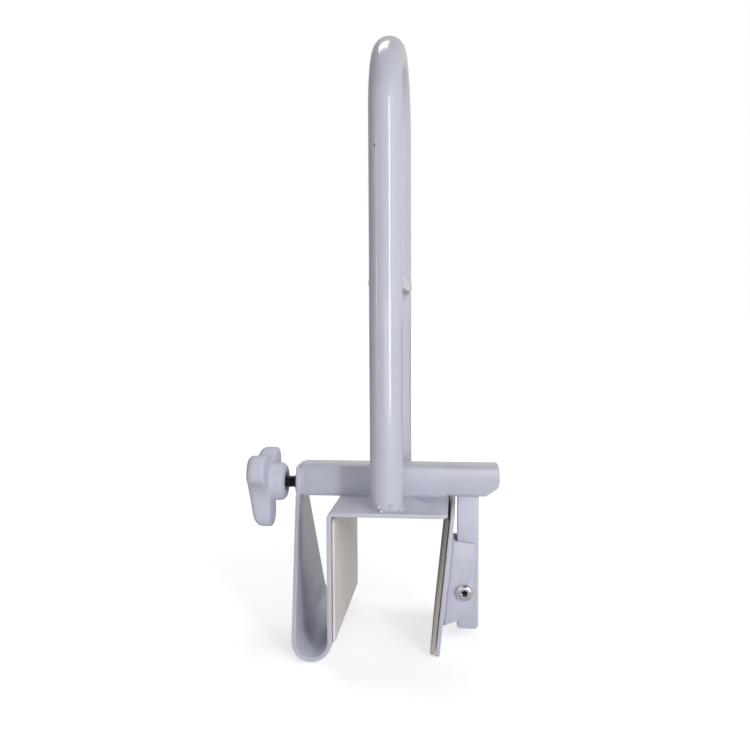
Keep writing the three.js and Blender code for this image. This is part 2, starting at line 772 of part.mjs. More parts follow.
/** The outline of the lobed head: round tips joined by hollow flutes, as points round the axis. */
function knobOutline() {
  const tipCentre = knobReach - lobeTipRadius;
  const half = Math.PI / knobLobes;
  const spread = 2 * Math.cos(half) * tipCentre;
  const rise = tipCentre ** 2 + knobValley ** 2 - spread * knobValley - lobeTipRadius ** 2;
  const fluteRadius = rise / (2 * lobeTipRadius - 2 * knobValley + spread);
  const fluteCentre = knobValley + fluteRadius;
  const acrossFlute = fluteCentre * Math.sin(half);
  const alongFlute = fluteCentre * Math.cos(half) - tipCentre;
  const tipTurn = Math.atan2(acrossFlute, alongFlute);
  const fluteTurn = tipTurn - half;
  const points = [];
  for (let lobe = 0; lobe < knobLobes; lobe += 1) {
    const aim = -Math.PI / 2 + 2 * half * lobe;
    for (let step = 0; step <= lobeTipSteps; step += 1) {
      const turn = aim - tipTurn + (2 * tipTurn * step) / lobeTipSteps;
      points.push(arcPoint(aim, tipCentre, turn, lobeTipRadius));
    }
    for (let step = 1; step < fluteSteps; step += 1) {
      const turn = aim + half + Math.PI + fluteTurn - (2 * fluteTurn * step) / fluteSteps;
      points.push(arcPoint(aim + half, fluteCentre, turn, fluteRadius));
    }
  }
  return points;
}

/** A point on an arc whose centre lies at a distance and angle from the axis. */
function arcPoint(centreTurn, centreDistance, turn, radius) {
  return new THREE.Vector2(
    centreDistance * Math.cos(centreTurn) + radius * Math.cos(turn),
    centreDistance * Math.sin(centreTurn) + radius * Math.sin(turn),
  );
}

/** A ring of the head: the outline drawn in towards the axis and set at a place on X. */
function knobRing(outline, inset, place) {
  return outline.map((point) => {
    const distance = point.length();
    const drawn = point.clone().multiplyScalar((distance - inset) / distance);
    return new THREE.Vector3(place(drawn.length()), drawn.x, drawn.y + rodAxis);
  });
}

/** The rings of one rounded edge of the head, from its flat side out to its rim. */
function edgeRings(outline, rounding, place) {
  return Array.from({ length: roundingSteps + 1 }, (_, step) => {
    const turn = (Math.PI / 2) * (step / roundingSteps);
    const inset = rounding * (1 - Math.sin(turn));
    const depth = rounding * (1 - Math.cos(turn));
    return knobRing(outline, inset, (distance) => place(distance, depth));
  });
}

/** The lobed head with rounded edges and a domed face, and the hub behind it. */
function knobBody() {
  const outline = knobOutline();
  const domeFace = (distance, depth) => knobFront + knobDome * (distance / knobReach) ** 2 + depth;
  const flatFace = (distance, depth) => headFace - depth;
  const front = edgeRings(outline, knobFrontRounding, domeFace);
  const rear = edgeRings(outline, knobRearRounding, flatFace).reverse();
  const frontCentre = new THREE.Vector3(knobFront, 0, rodAxis);
  const rearCentre = new THREE.Vector3(headFace, 0, rodAxis);
  const head = skin([...front, ...rear], frontCentre, rearCentre);
  return head.add(knobHub()).subtract(knobBores());
}

/** The round hub between the head and the bare stretch of rod. */
function knobHub() {
  const radius = hubDiameter / 2;
  const start = -headThickness / 2;
  const profile = [
    [0, start],
    [radius, start],
  ];
  for (let step = 0; step <= roundingSteps; step += 1) {
    const turn = (Math.PI / 2) * (step / roundingSteps);
    const drawn = radius - hubRounding + hubRounding * Math.cos(turn);
    profile.push([drawn, hubLength - hubRounding + hubRounding * Math.sin(turn)]);
  }
  profile.push([0, hubLength]);
  return turned(profile, tubeSides).rotate([0, 90, 0]).translate([headFace, 0, rodAxis]);
}

/** The bores of the knob: the rod's, and the wider one of the metal insert. */
function knobBores() {
  const floor = headFace - headThickness / 2 - seatGap;
  const narrow = rodBore(rodDiameter / 2 + seatGap, floor, hubFace + cutOverrun);
  const insertEnd = hubFace - insertDepth;
  const radius = insertDiameter / 2 + seatGap;
  return narrow.add(rodBore(radius, insertEnd - insertLength, insertEnd + seatGap));
}

/** The metal sleeve moulded into the hub, which holds the knob on the rod. */
function knobInsert() {
  const to = hubFace - insertDepth;
  const from = to - insertLength + seatGap;
  return rodBore(insertDiameter / 2, from, to).subtract(rodClearance(from, to));
}

// The whole rail

/** A named mesh with its finish. */
function part(name, solid, finish) {
  const [color, roughness, metalness] = finishes[finish];
  const material = new THREE.MeshStandardMaterial({ color, roughness, metalness });
  const mesh = new THREE.Mesh(geometryOf(solid), material);
  mesh.name = name;
  return mesh;
}

/** A group of parts that move as one. */
function bodyOf(...parts) {
  const group = new THREE.Group();
  group.add(...parts);
  return group;
}

const rail = new THREE.Group();
rail.add(
  bodyOf(
    part("clamp_frame", clampFrame(), "paint"),
    part("grab_rail", grabRail(), "paint"),
    part("crossbar", crossbar(), "paint"),
    part("beam_tube", beamTube(), "paint"),
    part("beam_nose_plate", nosePlate(), "paint"),
    part("fixed_pad", fixedPad(), "pad"),
  ),
  bodyOf(
    part("threaded_rod", threadedRod(), "black"),
    part("thrust_collar", thrustCollar(), "black"),
    part("retaining_pin", retainingPin(), "zinc"),
    part("knob_body", knobBody(), "knob"),
    part("knob_insert", knobInsert(), "brass"),
  ),
  bodyOf(
    part("slide_block", slideBlock(), "zinc"),
    part("arm_tube", armTube(), "paint"),
    part("arm_foot_plate", footPlate(), "paint"),
    part("pivot_bolt", pivotBolt(), "chrome"),
    part("near_spacer_washer", washer(-innerWasher - washerThickness), "zinc"),
    part("far_spacer_washer", washer(innerWasher), "zinc"),
    part("nut_washer", washer(outerWasher), "zinc"),
    part("pivot_nut", pivotNut(), "zinc"),
  ),
  bodyOf(
    part("clevis_bracket", clevisBracket(), "paint"),
    part("jaw_plate", jawPlate(), "paint"),
    part("jaw_pad", jawPad(), "jawPad"),
  ),
);

export default rail;
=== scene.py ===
"""Looks of a grab rail that clamps on the wall of a bathtub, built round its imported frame.

Every length is in metres, in the frame's own axes: X across the tub wall, Y along it, Z up.
"""

import json
import logging
import math
from contextlib import contextmanager
from dataclasses import dataclass
from enum import Enum
from typing import Callable, Iterator, Sequence

import bmesh
import bpy
from mathutils import Matrix, Vector, noise

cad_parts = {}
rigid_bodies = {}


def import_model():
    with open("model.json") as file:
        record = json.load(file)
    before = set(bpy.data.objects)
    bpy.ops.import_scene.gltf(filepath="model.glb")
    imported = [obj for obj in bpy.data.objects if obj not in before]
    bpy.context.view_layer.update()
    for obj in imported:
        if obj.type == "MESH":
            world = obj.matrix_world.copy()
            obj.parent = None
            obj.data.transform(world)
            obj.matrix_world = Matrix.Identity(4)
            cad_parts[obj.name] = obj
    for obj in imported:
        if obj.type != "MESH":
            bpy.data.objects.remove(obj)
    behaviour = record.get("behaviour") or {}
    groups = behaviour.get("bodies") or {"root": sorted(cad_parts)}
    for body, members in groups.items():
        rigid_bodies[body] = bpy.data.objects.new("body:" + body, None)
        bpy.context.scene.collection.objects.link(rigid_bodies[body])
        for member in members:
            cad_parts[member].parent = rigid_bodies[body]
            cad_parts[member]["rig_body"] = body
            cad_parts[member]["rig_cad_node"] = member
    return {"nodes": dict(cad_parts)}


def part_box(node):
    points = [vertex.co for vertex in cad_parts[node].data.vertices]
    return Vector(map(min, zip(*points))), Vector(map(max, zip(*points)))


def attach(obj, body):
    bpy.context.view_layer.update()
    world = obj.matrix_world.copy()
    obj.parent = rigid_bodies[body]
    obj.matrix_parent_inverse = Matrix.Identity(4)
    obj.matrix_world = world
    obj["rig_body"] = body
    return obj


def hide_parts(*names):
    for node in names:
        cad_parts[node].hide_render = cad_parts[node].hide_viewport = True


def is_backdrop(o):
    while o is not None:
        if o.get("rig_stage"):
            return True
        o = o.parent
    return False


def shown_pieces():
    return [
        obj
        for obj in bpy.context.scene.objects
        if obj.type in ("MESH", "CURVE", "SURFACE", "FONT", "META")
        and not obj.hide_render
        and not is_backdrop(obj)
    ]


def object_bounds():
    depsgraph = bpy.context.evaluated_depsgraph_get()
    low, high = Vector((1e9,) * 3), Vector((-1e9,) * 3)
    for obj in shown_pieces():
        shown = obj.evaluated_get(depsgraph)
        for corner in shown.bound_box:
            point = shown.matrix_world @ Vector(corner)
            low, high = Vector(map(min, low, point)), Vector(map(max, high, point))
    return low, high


LOG = logging.getLogger("rail_looks")
MM = 0.001
NEAR = 0.1 * MM  # how close two places are that count as the same
DOUBLES = 0.01 * MM  # how close two vertices are that are merged
SEAT_GAP = 0.3 * MM
SHEET = 3.2 * MM
SCREW_HEIGHT = 11.5 * MM
PIVOT = (60.286 * MM, -75.6 * MM)  # X and Z of the jaw's pivot
SIDES = ((1, -1), (2, 1))  # number and sign of the near and the far side

Point = Sequence[float]
Pair = tuple[float, float]
Triple = tuple[float, float, float]
Piece = bpy.types.Object
Socket = bpy.types.NodeSocket


class Body(Enum):
    """The rigid groups that a piece can move with."""

    FRAME = "frame"
    SCREW = "screw"
    CARRIAGE = "carriage"
    JAW = "jaw"


class Slot(Enum):
    """The record's material slots."""

    PAINT = "powder_coat"
    KNOB = "knob_plastic"
    BLACK = "black_steel"
    ZINC = "zinc_steel"
    CHROME = "chrome_bolt"
    BRASS = "brass"
    FIXED_PAD = "fixed_pad_rubber"
    JAW_PAD = "jaw_pad_rubber"


class Axis(Enum):
    """The direction that a round or drawn-out piece is made along."""

    X = (1, 0, 0)
    Y = (0, 1, 0)
    Z = (0, 0, 1)

    @property
    def vector(self) -> Vector:
        """The axis as a unit vector."""
        return Vector(self.value)

    def along(self, way: Vector) -> bool:
        """Whether a direction runs along the axis, either way."""
        return abs(way.dot(self.vector)) > 0.9


# The bench: operators as they are used by hand, on one piece at a time


def deselect() -> None:
    """Leaves edit mode and deselects every object."""
    if bpy.context.mode != "OBJECT":
        bpy.ops.object.mode_set(mode="OBJECT")
    bpy.ops.object.select_all(action="DESELECT")


def activate(piece: Piece) -> None:
    """Makes one object the only selected and the active one.

    Args:
        piece: The object to work on.
    """
    deselect()
    piece.select_set(True)
    bpy.context.view_layer.objects.active = piece


@contextmanager
def editing(piece: Piece, mode: str = "FACE", action: str = "DESELECT") -> Iterator[None]:
    """Holds edit mode on one object.

    Args:
        piece: The object to edit.
        mode: VERT, EDGE or FACE.
        action: SELECT to start with everything selected, DESELECT with nothing.

    Returns:
        A context that leaves edit mode again at its end.
    """
    activate(piece)
    bpy.ops.object.mode_set(mode="EDIT")
    bpy.ops.mesh.select_mode(type=mode)
    bpy.ops.mesh.select_all(action=action)
    try:
        yield
    finally:
        bpy.ops.object.mode_set(mode="OBJECT")


def pick(piece: Piece, mode: str, test: Callable[[Vector, Vector], bool]) -> None:
    """Selects the vertices, edges or faces that pass a test, in edit mode.

    Args:
        piece: The object in edit mode.
        mode: VERT, EDGE or FACE.
        test: Takes the element's centre and its normal, or an edge's direction.
    """
    bpy.ops.mesh.select_mode(type=mode)
    bpy.ops.mesh.select_all(action="DESELECT")
    shell = bmesh.from_edit_mesh(piece.data)
    shell.normal_update()
    if mode == "VERT":
        for vert in shell.verts:
            vert.select = test(vert.co, vert.normal)
    elif mode == "EDGE":
        for edge in shell.edges:
            start, end = (vert.co for vert in edge.verts)
            edge.select = test((start + end) / 2, (end - start).normalized())
    else:
        for face in shell.faces:
            face.select = test(face.calc_center_median(), face.normal)
    shell.select_flush_mode()
    bmesh.update_edit_mesh(piece.data)


def extrude(step: Point) -> None:
    """Draws the selection out by a step, in edit mode."""
    bpy.ops.mesh.extrude_region_move(TRANSFORM_OT_translate={"value": list(step)})


def close_up(doubles: float = 0) -> None:
    """Merges the doubles of the whole mesh and turns its faces outwards, in edit mode.

    Args:
        doubles: How close two vertices are merged, 0 for none.
    """
    bpy.ops.mesh.select_all(action="SELECT")
    if doubles:
        bpy.ops.mesh.remove_doubles(threshold=doubles)
    bpy.ops.mesh.normals_make_consistent(inside=False)


def named(name: str) -> Piece:
    """Names the object that an operator has just added.

    Args:
        name: The new name of the object and its mesh.

    Returns:
        The object, with its place put into its mesh.
    """
    piece = bpy.context.object
    piece.name = name
    piece.data.name = name
    bpy.ops.object.transform_apply(location=True, rotation=True, scale=True)
    return piece


def block(name: str, low: Point, high: Point) -> Piece:
    """Adds a block between two corners.

    Args:
        name: The piece's name.
        low: Its lowest corner.
        high: Its highest corner.

    Returns:
        The new object.
    """
    deselect()
    middle = [(a + b) / 2 for a, b in zip(low, high)]
    bpy.ops.mesh.primitive_cube_add(size=1, location=middle)
    bpy.context.object.scale = [b - a for a, b in zip(low, high)]
    return named(name)


def bar(
    name: str, axis: Axis, radius: float, start: float, end: float, centre: Point, sides: int = 64
) -> Piece:
    """Adds a round or many-sided bar along an axis.

    Args:
        name: The piece's name.
        axis: The direction of the bar.
        radius: Its radius, to the corners.
        start: Where it starts on the axis.
        end: Where it ends on the axis.
        centre: Its place on the two other axes, in their order.
        sides: The number of its sides.

    Returns:
        The new object.
    """
    deselect()
    place = list(centre)
    place.insert(list(Axis).index(axis), (start + end) / 2)
    turn = axis.vector.to_track_quat("Z", "Y").to_euler()
    bpy.ops.mesh.primitive_cylinder_add(
        vertices=sides, radius=radius, depth=end - start, location=place, rotation=turn
    )
    return named(name)


def drawn(name: str, points: Sequence[Point], closed: bool = False) -> Piece:
    """Draws a line by extruding one vertex from point to point.

    Args:
        name: The piece's name.
        points: The points of the line.
        closed: Whether the last point is joined to the first and the outline filled.

    Returns:
        The new object, a line or one flat face.
    """
    deselect()
    bpy.ops.mesh.primitive_plane_add(size=MM, location=points[0])
    piece = named(name)
    with editing(piece, "VERT", "SELECT"):
        bpy.ops.mesh.merge(type="CENTER")
        for here, there in zip(points, points[1:]):
            extrude([b - a for a, b in zip(here, there)])
        if closed:
            bpy.ops.mesh.select_all(action="SELECT")
            bpy.ops.mesh.edge_face_add()
    return piece


def turned(name: str, profile: Sequence[Pair], axis: Axis, foot: Point, steps: int = 64) -> Piece:
    """Turns a drawn profile round an axis into a closed piece.

    Args:
        name: The piece's name.
        profile: Pairs of radius and distance along the axis.
        axis: The axis to turn round.
        foot: The point on the axis that distances are counted from.
        steps: The steps of the turn.

    Returns:
        The new object.
    """
    along, origin = axis.vector, Vector(foot)
    side = Axis.X.vector if axis is Axis.Z else Axis.Z.vector
    piece = drawn(name, [origin + side * radius + along * height for radius, height in profile])
    with editing(piece, "VERT", "SELECT"):
        bpy.ops.mesh.spin(steps=steps, angle=math.tau, center=origin, axis=along)
        close_up(2 * DOUBLES)
    return piece


def ring(name: str, size: Triple, edge: float, axis: Axis, foot: Point) -> Piece:
    """Turns a flat ring whose outer edges are broken.

    Args:
        name: The piece's name.
        size: The radius of its hole, its outer radius and its width.
        edge: The width of the chamfers.
        axis: Its axis.
        foot: The middle of the side that it starts from.

    Returns:
        The new object.
    """
    inner, outer, width = size
    profile = [(inner, 0), (outer - edge, 0), (outer, edge), (outer, width - edge)]
    profile += [(outer - edge, width), (inner, width), (inner, 0)]
    return turned(name, profile, axis, foot)


def arc(first: float, second: float, wide: float, tall: float, steps: int = 8) -> list[Pair]:
    """Draws a quarter of an ellipse from (first, second + tall) to (first + wide, second).

    Args:
        first: The first coordinate of its start.
        second: The second coordinate of its end.
        wide: How far it runs along the first axis.
        tall: How far it runs along the second axis.
        steps: The number of its steps.

    Returns:
        Its points.
    """
    turns = (math.pi / 2 * step / steps for step in range(steps + 1))
    return [
        (first + wide * (1 - math.cos(turn)), second + tall * (1 - math.sin(turn)))
        for turn in turns
    ]


def prism(name: str, outline: Sequence[Point], step: Point) -> Piece:
    """Fills a drawn outline and draws it out into a solid.

    Args:
        name: The piece's name.
        outline: The corners of a flat outline.
        step: How far and which way it is drawn out.

    Returns:
        The new object.
    """
    piece = drawn(name, outline, closed=True)
    with editing(piece, "FACE", "SELECT"):
        extrude(step)
        close_up()
    return piece


def modify(piece: Piece, kind: str, **settings: object) -> None:
    """Adds a modifier to a piece and applies it.

    Args:
        piece: The object to change.
        kind: The modifier's type.
        settings: Its settings by name.
    """
    activate(piece)
    modifier = piece.modifiers.new(kind.lower(), kind)
    for key, value in settings.items():
        setattr(modifier, key, value)
    bpy.ops.object.modifier_apply(modifier=modifier.name)


def carve(piece: Piece, tool: Piece, way: str = "DIFFERENCE") -> None:
    """Cuts with a tool, or joins it on with UNION or keeps what it covers with INTERSECT."""
    modify(piece, "BOOLEAN", object=tool, operation=way, solver="EXACT")
    bpy.data.objects.remove(tool)


def soften(piece: Piece, width: float, segments: int = 2, angle: float = 50) -> None:
    """Rounds the edges of a piece that turn by more than an angle in degrees."""
    limit = {"limit_method": "ANGLE", "angle_limit": math.radians(angle)}
    modify(piece, "BEVEL", width=width, segments=segments, harden_normals=False, **limit)


def round_corners(
    piece: Piece,
    axis: Axis,
    radius: float,
    segments: int = 6,
    where: Callable[[Vector], bool] = lambda place: True,
) -> None:
    """Rounds the edges of a block that run along an axis.

    Args:
        piece: The block.
        axis: The direction of the edges.
        radius: The radius of the rounding.
        segments: Its number of steps.
        where: Takes the middle of an edge and says whether it is rounded.
    """
    with editing(piece, "EDGE"):
        pick(piece, "EDGE", lambda place, way: axis.along(way) and where(place))
        bpy.ops.mesh.bevel(offset=radius, segments=segments)


def hollow(tube: Piece, axis: Axis, corner: float, segments: int, wall: float) -> None:
    """Turns a block into an open square tube.

    Args:
        tube: The block.
        axis: The direction of its length.
        corner: The radius of its corners.
        segments: The steps of that radius.
        wall: The thickness of its wall.
    """
    round_corners(tube, axis, corner, segments)
    with editing(tube):
        pick(tube, "FACE", lambda place, way: axis.along(way))
        bpy.ops.mesh.delete(type="FACE")
    modify(tube, "SOLIDIFY", thickness=wall, offset=-1)


def slices(piece: Piece, axis: Axis, start: float, end: float, count: int) -> None:
    """Cuts a piece across its length into even lengths, so that its surface can be moved.

    Args:
        piece: The object to cut.
        axis: The direction of its length.
        start: Where it starts on the axis.
        end: Where it ends on the axis.
        count: The number of lengths.
    """
    with editing(piece):
        for cut in range(1, count):
            bpy.ops.mesh.select_all(action="SELECT")
            place = axis.vector * (start + (end - start) * cut / count)
            bpy.ops.mesh.bisect(plane_co=place, plane_no=axis.value)


def bead(name: str, points: Sequence[Point], radius: float, closed: bool) -> Piece:
    """Lays a round bead along a line of points.

    Args:
        name: The piece's name.
        points: The points that it follows.
        radius: Its radius.
        closed: Whether it runs back to its start.

    Returns:
        The bead as a mesh.
    """
    curve = bpy.data.curves.new(name, "CURVE")
    curve.dimensions = "3D"
    spline = curve.splines.new("POLY")
    spline.points.add(len(points) - 1)
    for target, point in zip(spline.points, points):
        target.co = (*point, 1)
    spline.use_cyclic_u = closed
    curve.bevel_depth = radius
    curve.bevel_resolution = 4
    curve.use_fill_caps = not closed
    piece = bpy.data.objects.new(name, curve)
    bpy.context.collection.objects.link(piece)
    activate(piece)
    bpy.ops.object.convert(target="MESH")
    piece = bpy.context.object
    with editing(piece, "VERT"):
        close_up(DOUBLES)
    return piece


def cushion(name: str, low: Point, high: Point, crown: float) -> Piece:
    """Makes a flat upright pad with soft edges and a slight crown on its two faces.

    Args:
        name: The piece's name.
        low: The lowest corner of its room.
        high: The highest corner of its room.
        crown: How far the faces fall away to their edges.

    Returns:
        The new object.
    """
    corner, edge, cuts, flat = 3 * MM, 0.7 * MM, 24, 0.86
    pad = block(name, low, high)
    middle = [(a + b) / 2 for a, b in zip(low, high)]
    half = [(b - a) / 2 for a, b in zip(low, high)]
    round_corners(pad, Axis.X, corner, 5)
    soften(pad, min(edge, 0.6 * half[0]), 3)
    slices(pad, Axis.Y, low[1], high[1], cuts)
    slices(pad, Axis.Z, low[2], high[2], cuts)
    for vert in pad.data.vertices:
        across = max(abs(vert.co[axis] - middle[axis]) / half[axis] for axis in (1, 2))
        if abs(vert.co.x - middle[0]) > 0.3 * half[0]:
            fall = max(0.0, (across - flat) / (1 - flat))
            vert.co.x -= math.copysign(crown * fall * fall, vert.co.x - middle[0])
    return pad


# Finishes


class Wiring:
    """Shader nodes that are added one after another."""

    def __init__(self, tree: bpy.types.NodeTree, place: str = "Object") -> None:
        """Takes the nodes and the kind of coordinates that they work on."""
        self.tree = tree
        self.place = self.add("TexCoord", place)

    def lead(self, value: object, target: Socket) -> None:
        """Sets an input to a value, or leads a socket to it.

        Args:
            value: The value or the socket.
            target: The input.
        """
        if isinstance(value, Socket):
            self.tree.links.new(value, target)
        else:
            target.default_value = value

    def add(
        self, kind: str, output: str | int, inputs: dict | None = None, **settings: object
    ) -> Socket:
        """Adds a node.

        Args:
            kind: Its type, without the ShaderNode.
            output: The output that is used.
            inputs: For each input, a value or the socket that is led to it.
            settings: The node's own settings by name.

        Returns:
            The output's socket.
        """
        node = self.tree.nodes.new(f"ShaderNode{kind}")
        for key, value in settings.items():
            setattr(node, key, value)
        for key, value in (inputs or {}).items():
            self.lead(value, node.inputs[key])
        return node.outputs[output]

    def vector(self, operation: str, *values: object, output: str = "Vector") -> Socket:
        """Adds one step of vector arithmetic and returns its output."""
        return self.add("VectorMath", output, dict(enumerate(values)), operation=operation)

    def span(
        self,
        source: Socket,
        low: float,
        high: float,
        to_low: float | Socket = 0,
        to_high: float = 1,
    ) -> Socket:
        """Maps one range of values to another and clamps it.

        Args:
            source: The socket to map.
            low: Start of its range.
            high: End of its range.
            to_low: What the start becomes.
            to_high: What the end becomes.

        Returns:
            The mapped socket.
        """
        inputs = {"Value": source, "From Min": low, "From Max": high}
        return self.add("MapRange", "Result", {**inputs, "To Min": to_low, "To Max": to_high})


class Recipe(Wiring):
    """A material under construction, with one principled shader."""

    def __init__(self, name: str) -> None:
        """Starts the material.

        Args:
            name: The material's name.
        """
        self.material = bpy.data.materials.new(name)
        self.material.use_nodes = True
        super().__init__(self.material.node_tree)

    def set(self, **values: object) -> None:
        """Sets the shader's own sockets.

        Args:
            values: Values, or sockets that are led there, by name with _ for each space.
        """
        shader = self.tree.nodes["Principled BSDF"]
        for key, value in values.items():
            self.lead(value, shader.inputs[key.replace("_", " ")])

    def grain(
        self, size: float, detail: float = 3, rough: float = 0.5, stretch: Point | None = None
    ) -> Socket:
        """Adds smooth noise.

        Args:
            size: The size of its features in metres.
            detail: Its number of finer layers.
            rough: How strong the finer layers are.
            stretch: Factors that squeeze it along each axis.

        Returns:
            The socket with values round 0.5.
        """
        place = self.place
        if stretch:
            place = self.add("Mapping", "Vector", {"Vector": place, "Scale": stretch})
        inputs = {"Vector": place, "Scale": 1 / size, "Detail": detail, "Roughness": rough}
        return self.add("TexNoise", "Fac", inputs)

    def blend(self, share: Socket, first: Triple | Socket, second: Triple) -> Socket:
        """Mixes two colours.

        Args:
            share: The share of the second colour.
            first: The first colour, as numbers or as a socket.
            second: The second colour.

        Returns:
            The mixed colour's socket.
        """
        start = first if isinstance(first, Socket) else (*first, 1)
        return self.add("Mix", 2, {0: share, 6: start, 7: (*second, 1)}, data_type="RGBA")

    def emboss(self, *layers: tuple[Socket, float]) -> None:
        """Adds bumps one on another.

        Args:
            layers: Pairs of a height socket and the height of its bumps in metres.
        """
        below: dict[str, Socket] = {}
        for source, height in layers:
            inputs = {"Distance": height, "Height": source, **below}
            below = {"Normal": self.add("Bump", "Normal", inputs)}
        self.set(**below)


@dataclass(frozen=True)
class PowderCoat:
    """Glossy powder coat, with its orange peel and slow drift of tone."""

    colour: Triple = (0.655, 0.663, 0.77)
    drift: Triple = (0.635, 0.643, 0.755)
    roughness: Pair = (0.405, 0.44)
    peel: float = 0.002 * MM

    def dress(self, recipe: Recipe) -> None:
        """Dresses a material.

        Args:
            recipe: The material under construction.
        """
        slow = recipe.span(recipe.grain(60 * MM, 2), 0.35, 0.65)
        recipe.set(
            Base_Color=recipe.blend(slow, self.colour, self.drift),
            Roughness=recipe.span(recipe.grain(9 * MM, 3), 0.3, 0.7, *self.roughness),
            Specular_IOR_Level=0.3,
            Coat_Weight=0.9,
            Coat_Roughness=0.07,
        )
        coarse = recipe.grain(14 * MM, 1)
        recipe.emboss((recipe.grain(2.4 * MM, 2, 0.4), self.peel), (coarse, self.peel))


@dataclass(frozen=True)
class MouldedPlastic:
    """Satin moulded plastic with a fine spark-eroded grain."""

    colour: Triple = (0.715, 0.73, 0.855)
    drift: Triple = (0.68, 0.7, 0.83)
    roughness: Pair = (0.4, 0.52)

    def dress(self, recipe: Recipe) -> None:
        """Dresses a material.

        Args:
            recipe: The material under construction.
        """
        slow = recipe.span(recipe.grain(18 * MM, 2), 0.35, 0.65)
        recipe.set(
            Base_Color=recipe.blend(slow, self.colour, self.drift),
            Roughness=recipe.span(recipe.grain(3 * MM, 4), 0.3, 0.7, *self.roughness),
            Specular_IOR_Level=0.45,
        )
        coarse = recipe.grain(6 * MM, 2)
        recipe.emboss((recipe.grain(0.35 * MM, 3, 0.6), 0.02 * MM), (coarse, 0.03 * MM))


@dataclass(frozen=True)
class RoundShade:
    """A second colour that comes in with the distance from a centre.

    The axes that count have 1 in across, and the others have 0.
    """

    centre: Triple
    across: Triple
    start: float
    end: float
    colour: Triple

    def over(self, recipe: Recipe, base: Socket) -> Socket:
        """Blends the second colour over a first one.

        Args:
            recipe: The material under construction.
            base: The first colour.

        Returns:
            The mixed colour's socket.
        """
        shifted = recipe.vector("SUBTRACT", recipe.place, self.centre)
        flat = recipe.vector("MULTIPLY", shifted, self.across)
        away = recipe.vector("LENGTH", flat, output="Value")
        return recipe.blend(recipe.span(away, self.start, self.end), base, self.colour)


@dataclass(frozen=True)
class PlainMetal:
    """Bare, plated or blackened metal with fine scratches."""

    colour: Triple
    worn: Triple
    roughness: float
    scratch: float = 0.006 * MM
    shades: tuple[RoundShade, ...] = ()

    def dress(self, recipe: Recipe) -> None:
        """Dresses a material.

        Args:
            recipe: The material under construction.
        """
        cloud = recipe.span(recipe.grain(5 * MM, 4, 0.6), 0.42, 0.62)
        base = recipe.blend(cloud, self.colour, self.worn)
        # Colours by distance from an axis, among them a painted highlight on the thread crests and
        # painted shade in the bolt's socket
        for shade in self.shades:
            base = shade.over(recipe, base)
        fine = recipe.grain(0.5 * MM, 4, 0.65)
        sheen = recipe.span(fine, 0.3, 0.7, self.roughness * 0.75, self.roughness * 1.3)
        recipe.set(Base_Color=base, Roughness=sheen, Metallic=1.0)
        recipe.emboss((fine, self.scratch))


@dataclass(frozen=True)
class PadRubber:
    """Matt pad rubber with pores, patches and upright streaks, and painted shade that darkens it
    towards its top, under the plate.
    """

    colour: Triple
    soiled: Triple
    # Painted shade: the colour that the pad darkens to towards its top, where the plate above
    # shades it, between the next two heights
    top: Triple
    shade_start: float
    shade_end: float
    pore: float = 0.8 * MM

    def dress(self, recipe: Recipe) -> None:
        """Dresses a material.

        Args:
            recipe: The material under construction.
        """
        patch = recipe.span(recipe.grain(26 * MM, 4, 0.6, (1, 1, 0.35)), 0.4, 0.68)
        base = recipe.blend(patch, self.colour, self.soiled)
        streak = recipe.span(recipe.grain(7 * MM, 3, 0.6, (1, 1, 0.05)), 0.5, 0.72, 0, 0.55)
        base = recipe.blend(streak, base, self.soiled)
        # Painted shade under the plate: the pad darkens towards its top
        height = recipe.add("SeparateXYZ", "Z", {"Vector": recipe.place})
        base = recipe.blend(recipe.span(height, self.shade_start, self.shade_end), base, self.top)
        cells = {"Vector": recipe.place, "Scale": 1 / self.pore}
        speck = recipe.span(recipe.add("TexVoronoi", "Distance", cells), 0.05, 0.2, 1, 0)
        recipe.set(
            Base_Color=recipe.blend(speck, base, tuple(0.82 * value for value in self.soiled)),
            Roughness=recipe.span(recipe.grain(4 * MM, 3), 0.3, 0.7, 0.78, 0.95),
            Specular_IOR_Level=0.25,
        )
        coarse = recipe.grain(9 * MM, 2)
        recipe.emboss((recipe.grain(self.pore, 3, 0.6), 0.08 * MM), (coarse, 0.15 * MM))


ROD = ((0, 0, SCREW_HEIGHT), (0, 1, 1))
BOLT = ((PIVOT[0], -16.7 * MM, PIVOT[1]), (1, 0.3, 1))
# Painted highlight: the thread crests of the rod are coloured lighter, where they glint
THREAD_CREST_HIGHLIGHT = RoundShade(*ROD, 4.5 * MM, 4.95 * MM, (0.16, 0.16, 0.17))
RIM_SHADE = RoundShade(*ROD, 5.6 * MM, 9.5 * MM, (0.26, 0.26, 0.275))
# Painted shade: the inside of the bolt's hexagon socket is coloured nearly black, where shade falls
# in the recess
SOCKET_PAINTED_SHADE = RoundShade(*BOLT, 2.7 * MM, 2.4 * MM, (0.03, 0.03, 0.033))
FINISHES = {
    Slot.PAINT: PowderCoat(),
    Slot.KNOB: MouldedPlastic(),
    Slot.BLACK: PlainMetal(
        (0.03, 0.03, 0.034), (0.07, 0.07, 0.075), 0.38, shades=(THREAD_CREST_HIGHLIGHT, RIM_SHADE)
    ),
    Slot.ZINC: PlainMetal((0.55, 0.56, 0.58), (0.44, 0.45, 0.48), 0.34),
    Slot.CHROME: PlainMetal(
        (0.9, 0.88, 0.9), (0.78, 0.76, 0.78), 0.16, 0.002 * MM, (SOCKET_PAINTED_SHADE,)
    ),
    Slot.BRASS: PlainMetal((0.62, 0.46, 0.22), (0.5, 0.36, 0.16), 0.3),
    # The last colour and the two heights of each pad are painted shade, darker towards the top
    # under the plate
    Slot.FIXED_PAD: PadRubber(
        (0.985, 0.92, 0.875), (0.87, 0.81, 0.765), (0.5, 0.465, 0.44), -6 * MM, -1 * MM
    ),
    Slot.JAW_PAD: PadRubber(
        (0.63, 0.58, 0.525), (0.5, 0.46, 0.415), (0.22, 0.2, 0.18), -112 * MM, -15 * MM
    ),
}


# The rail


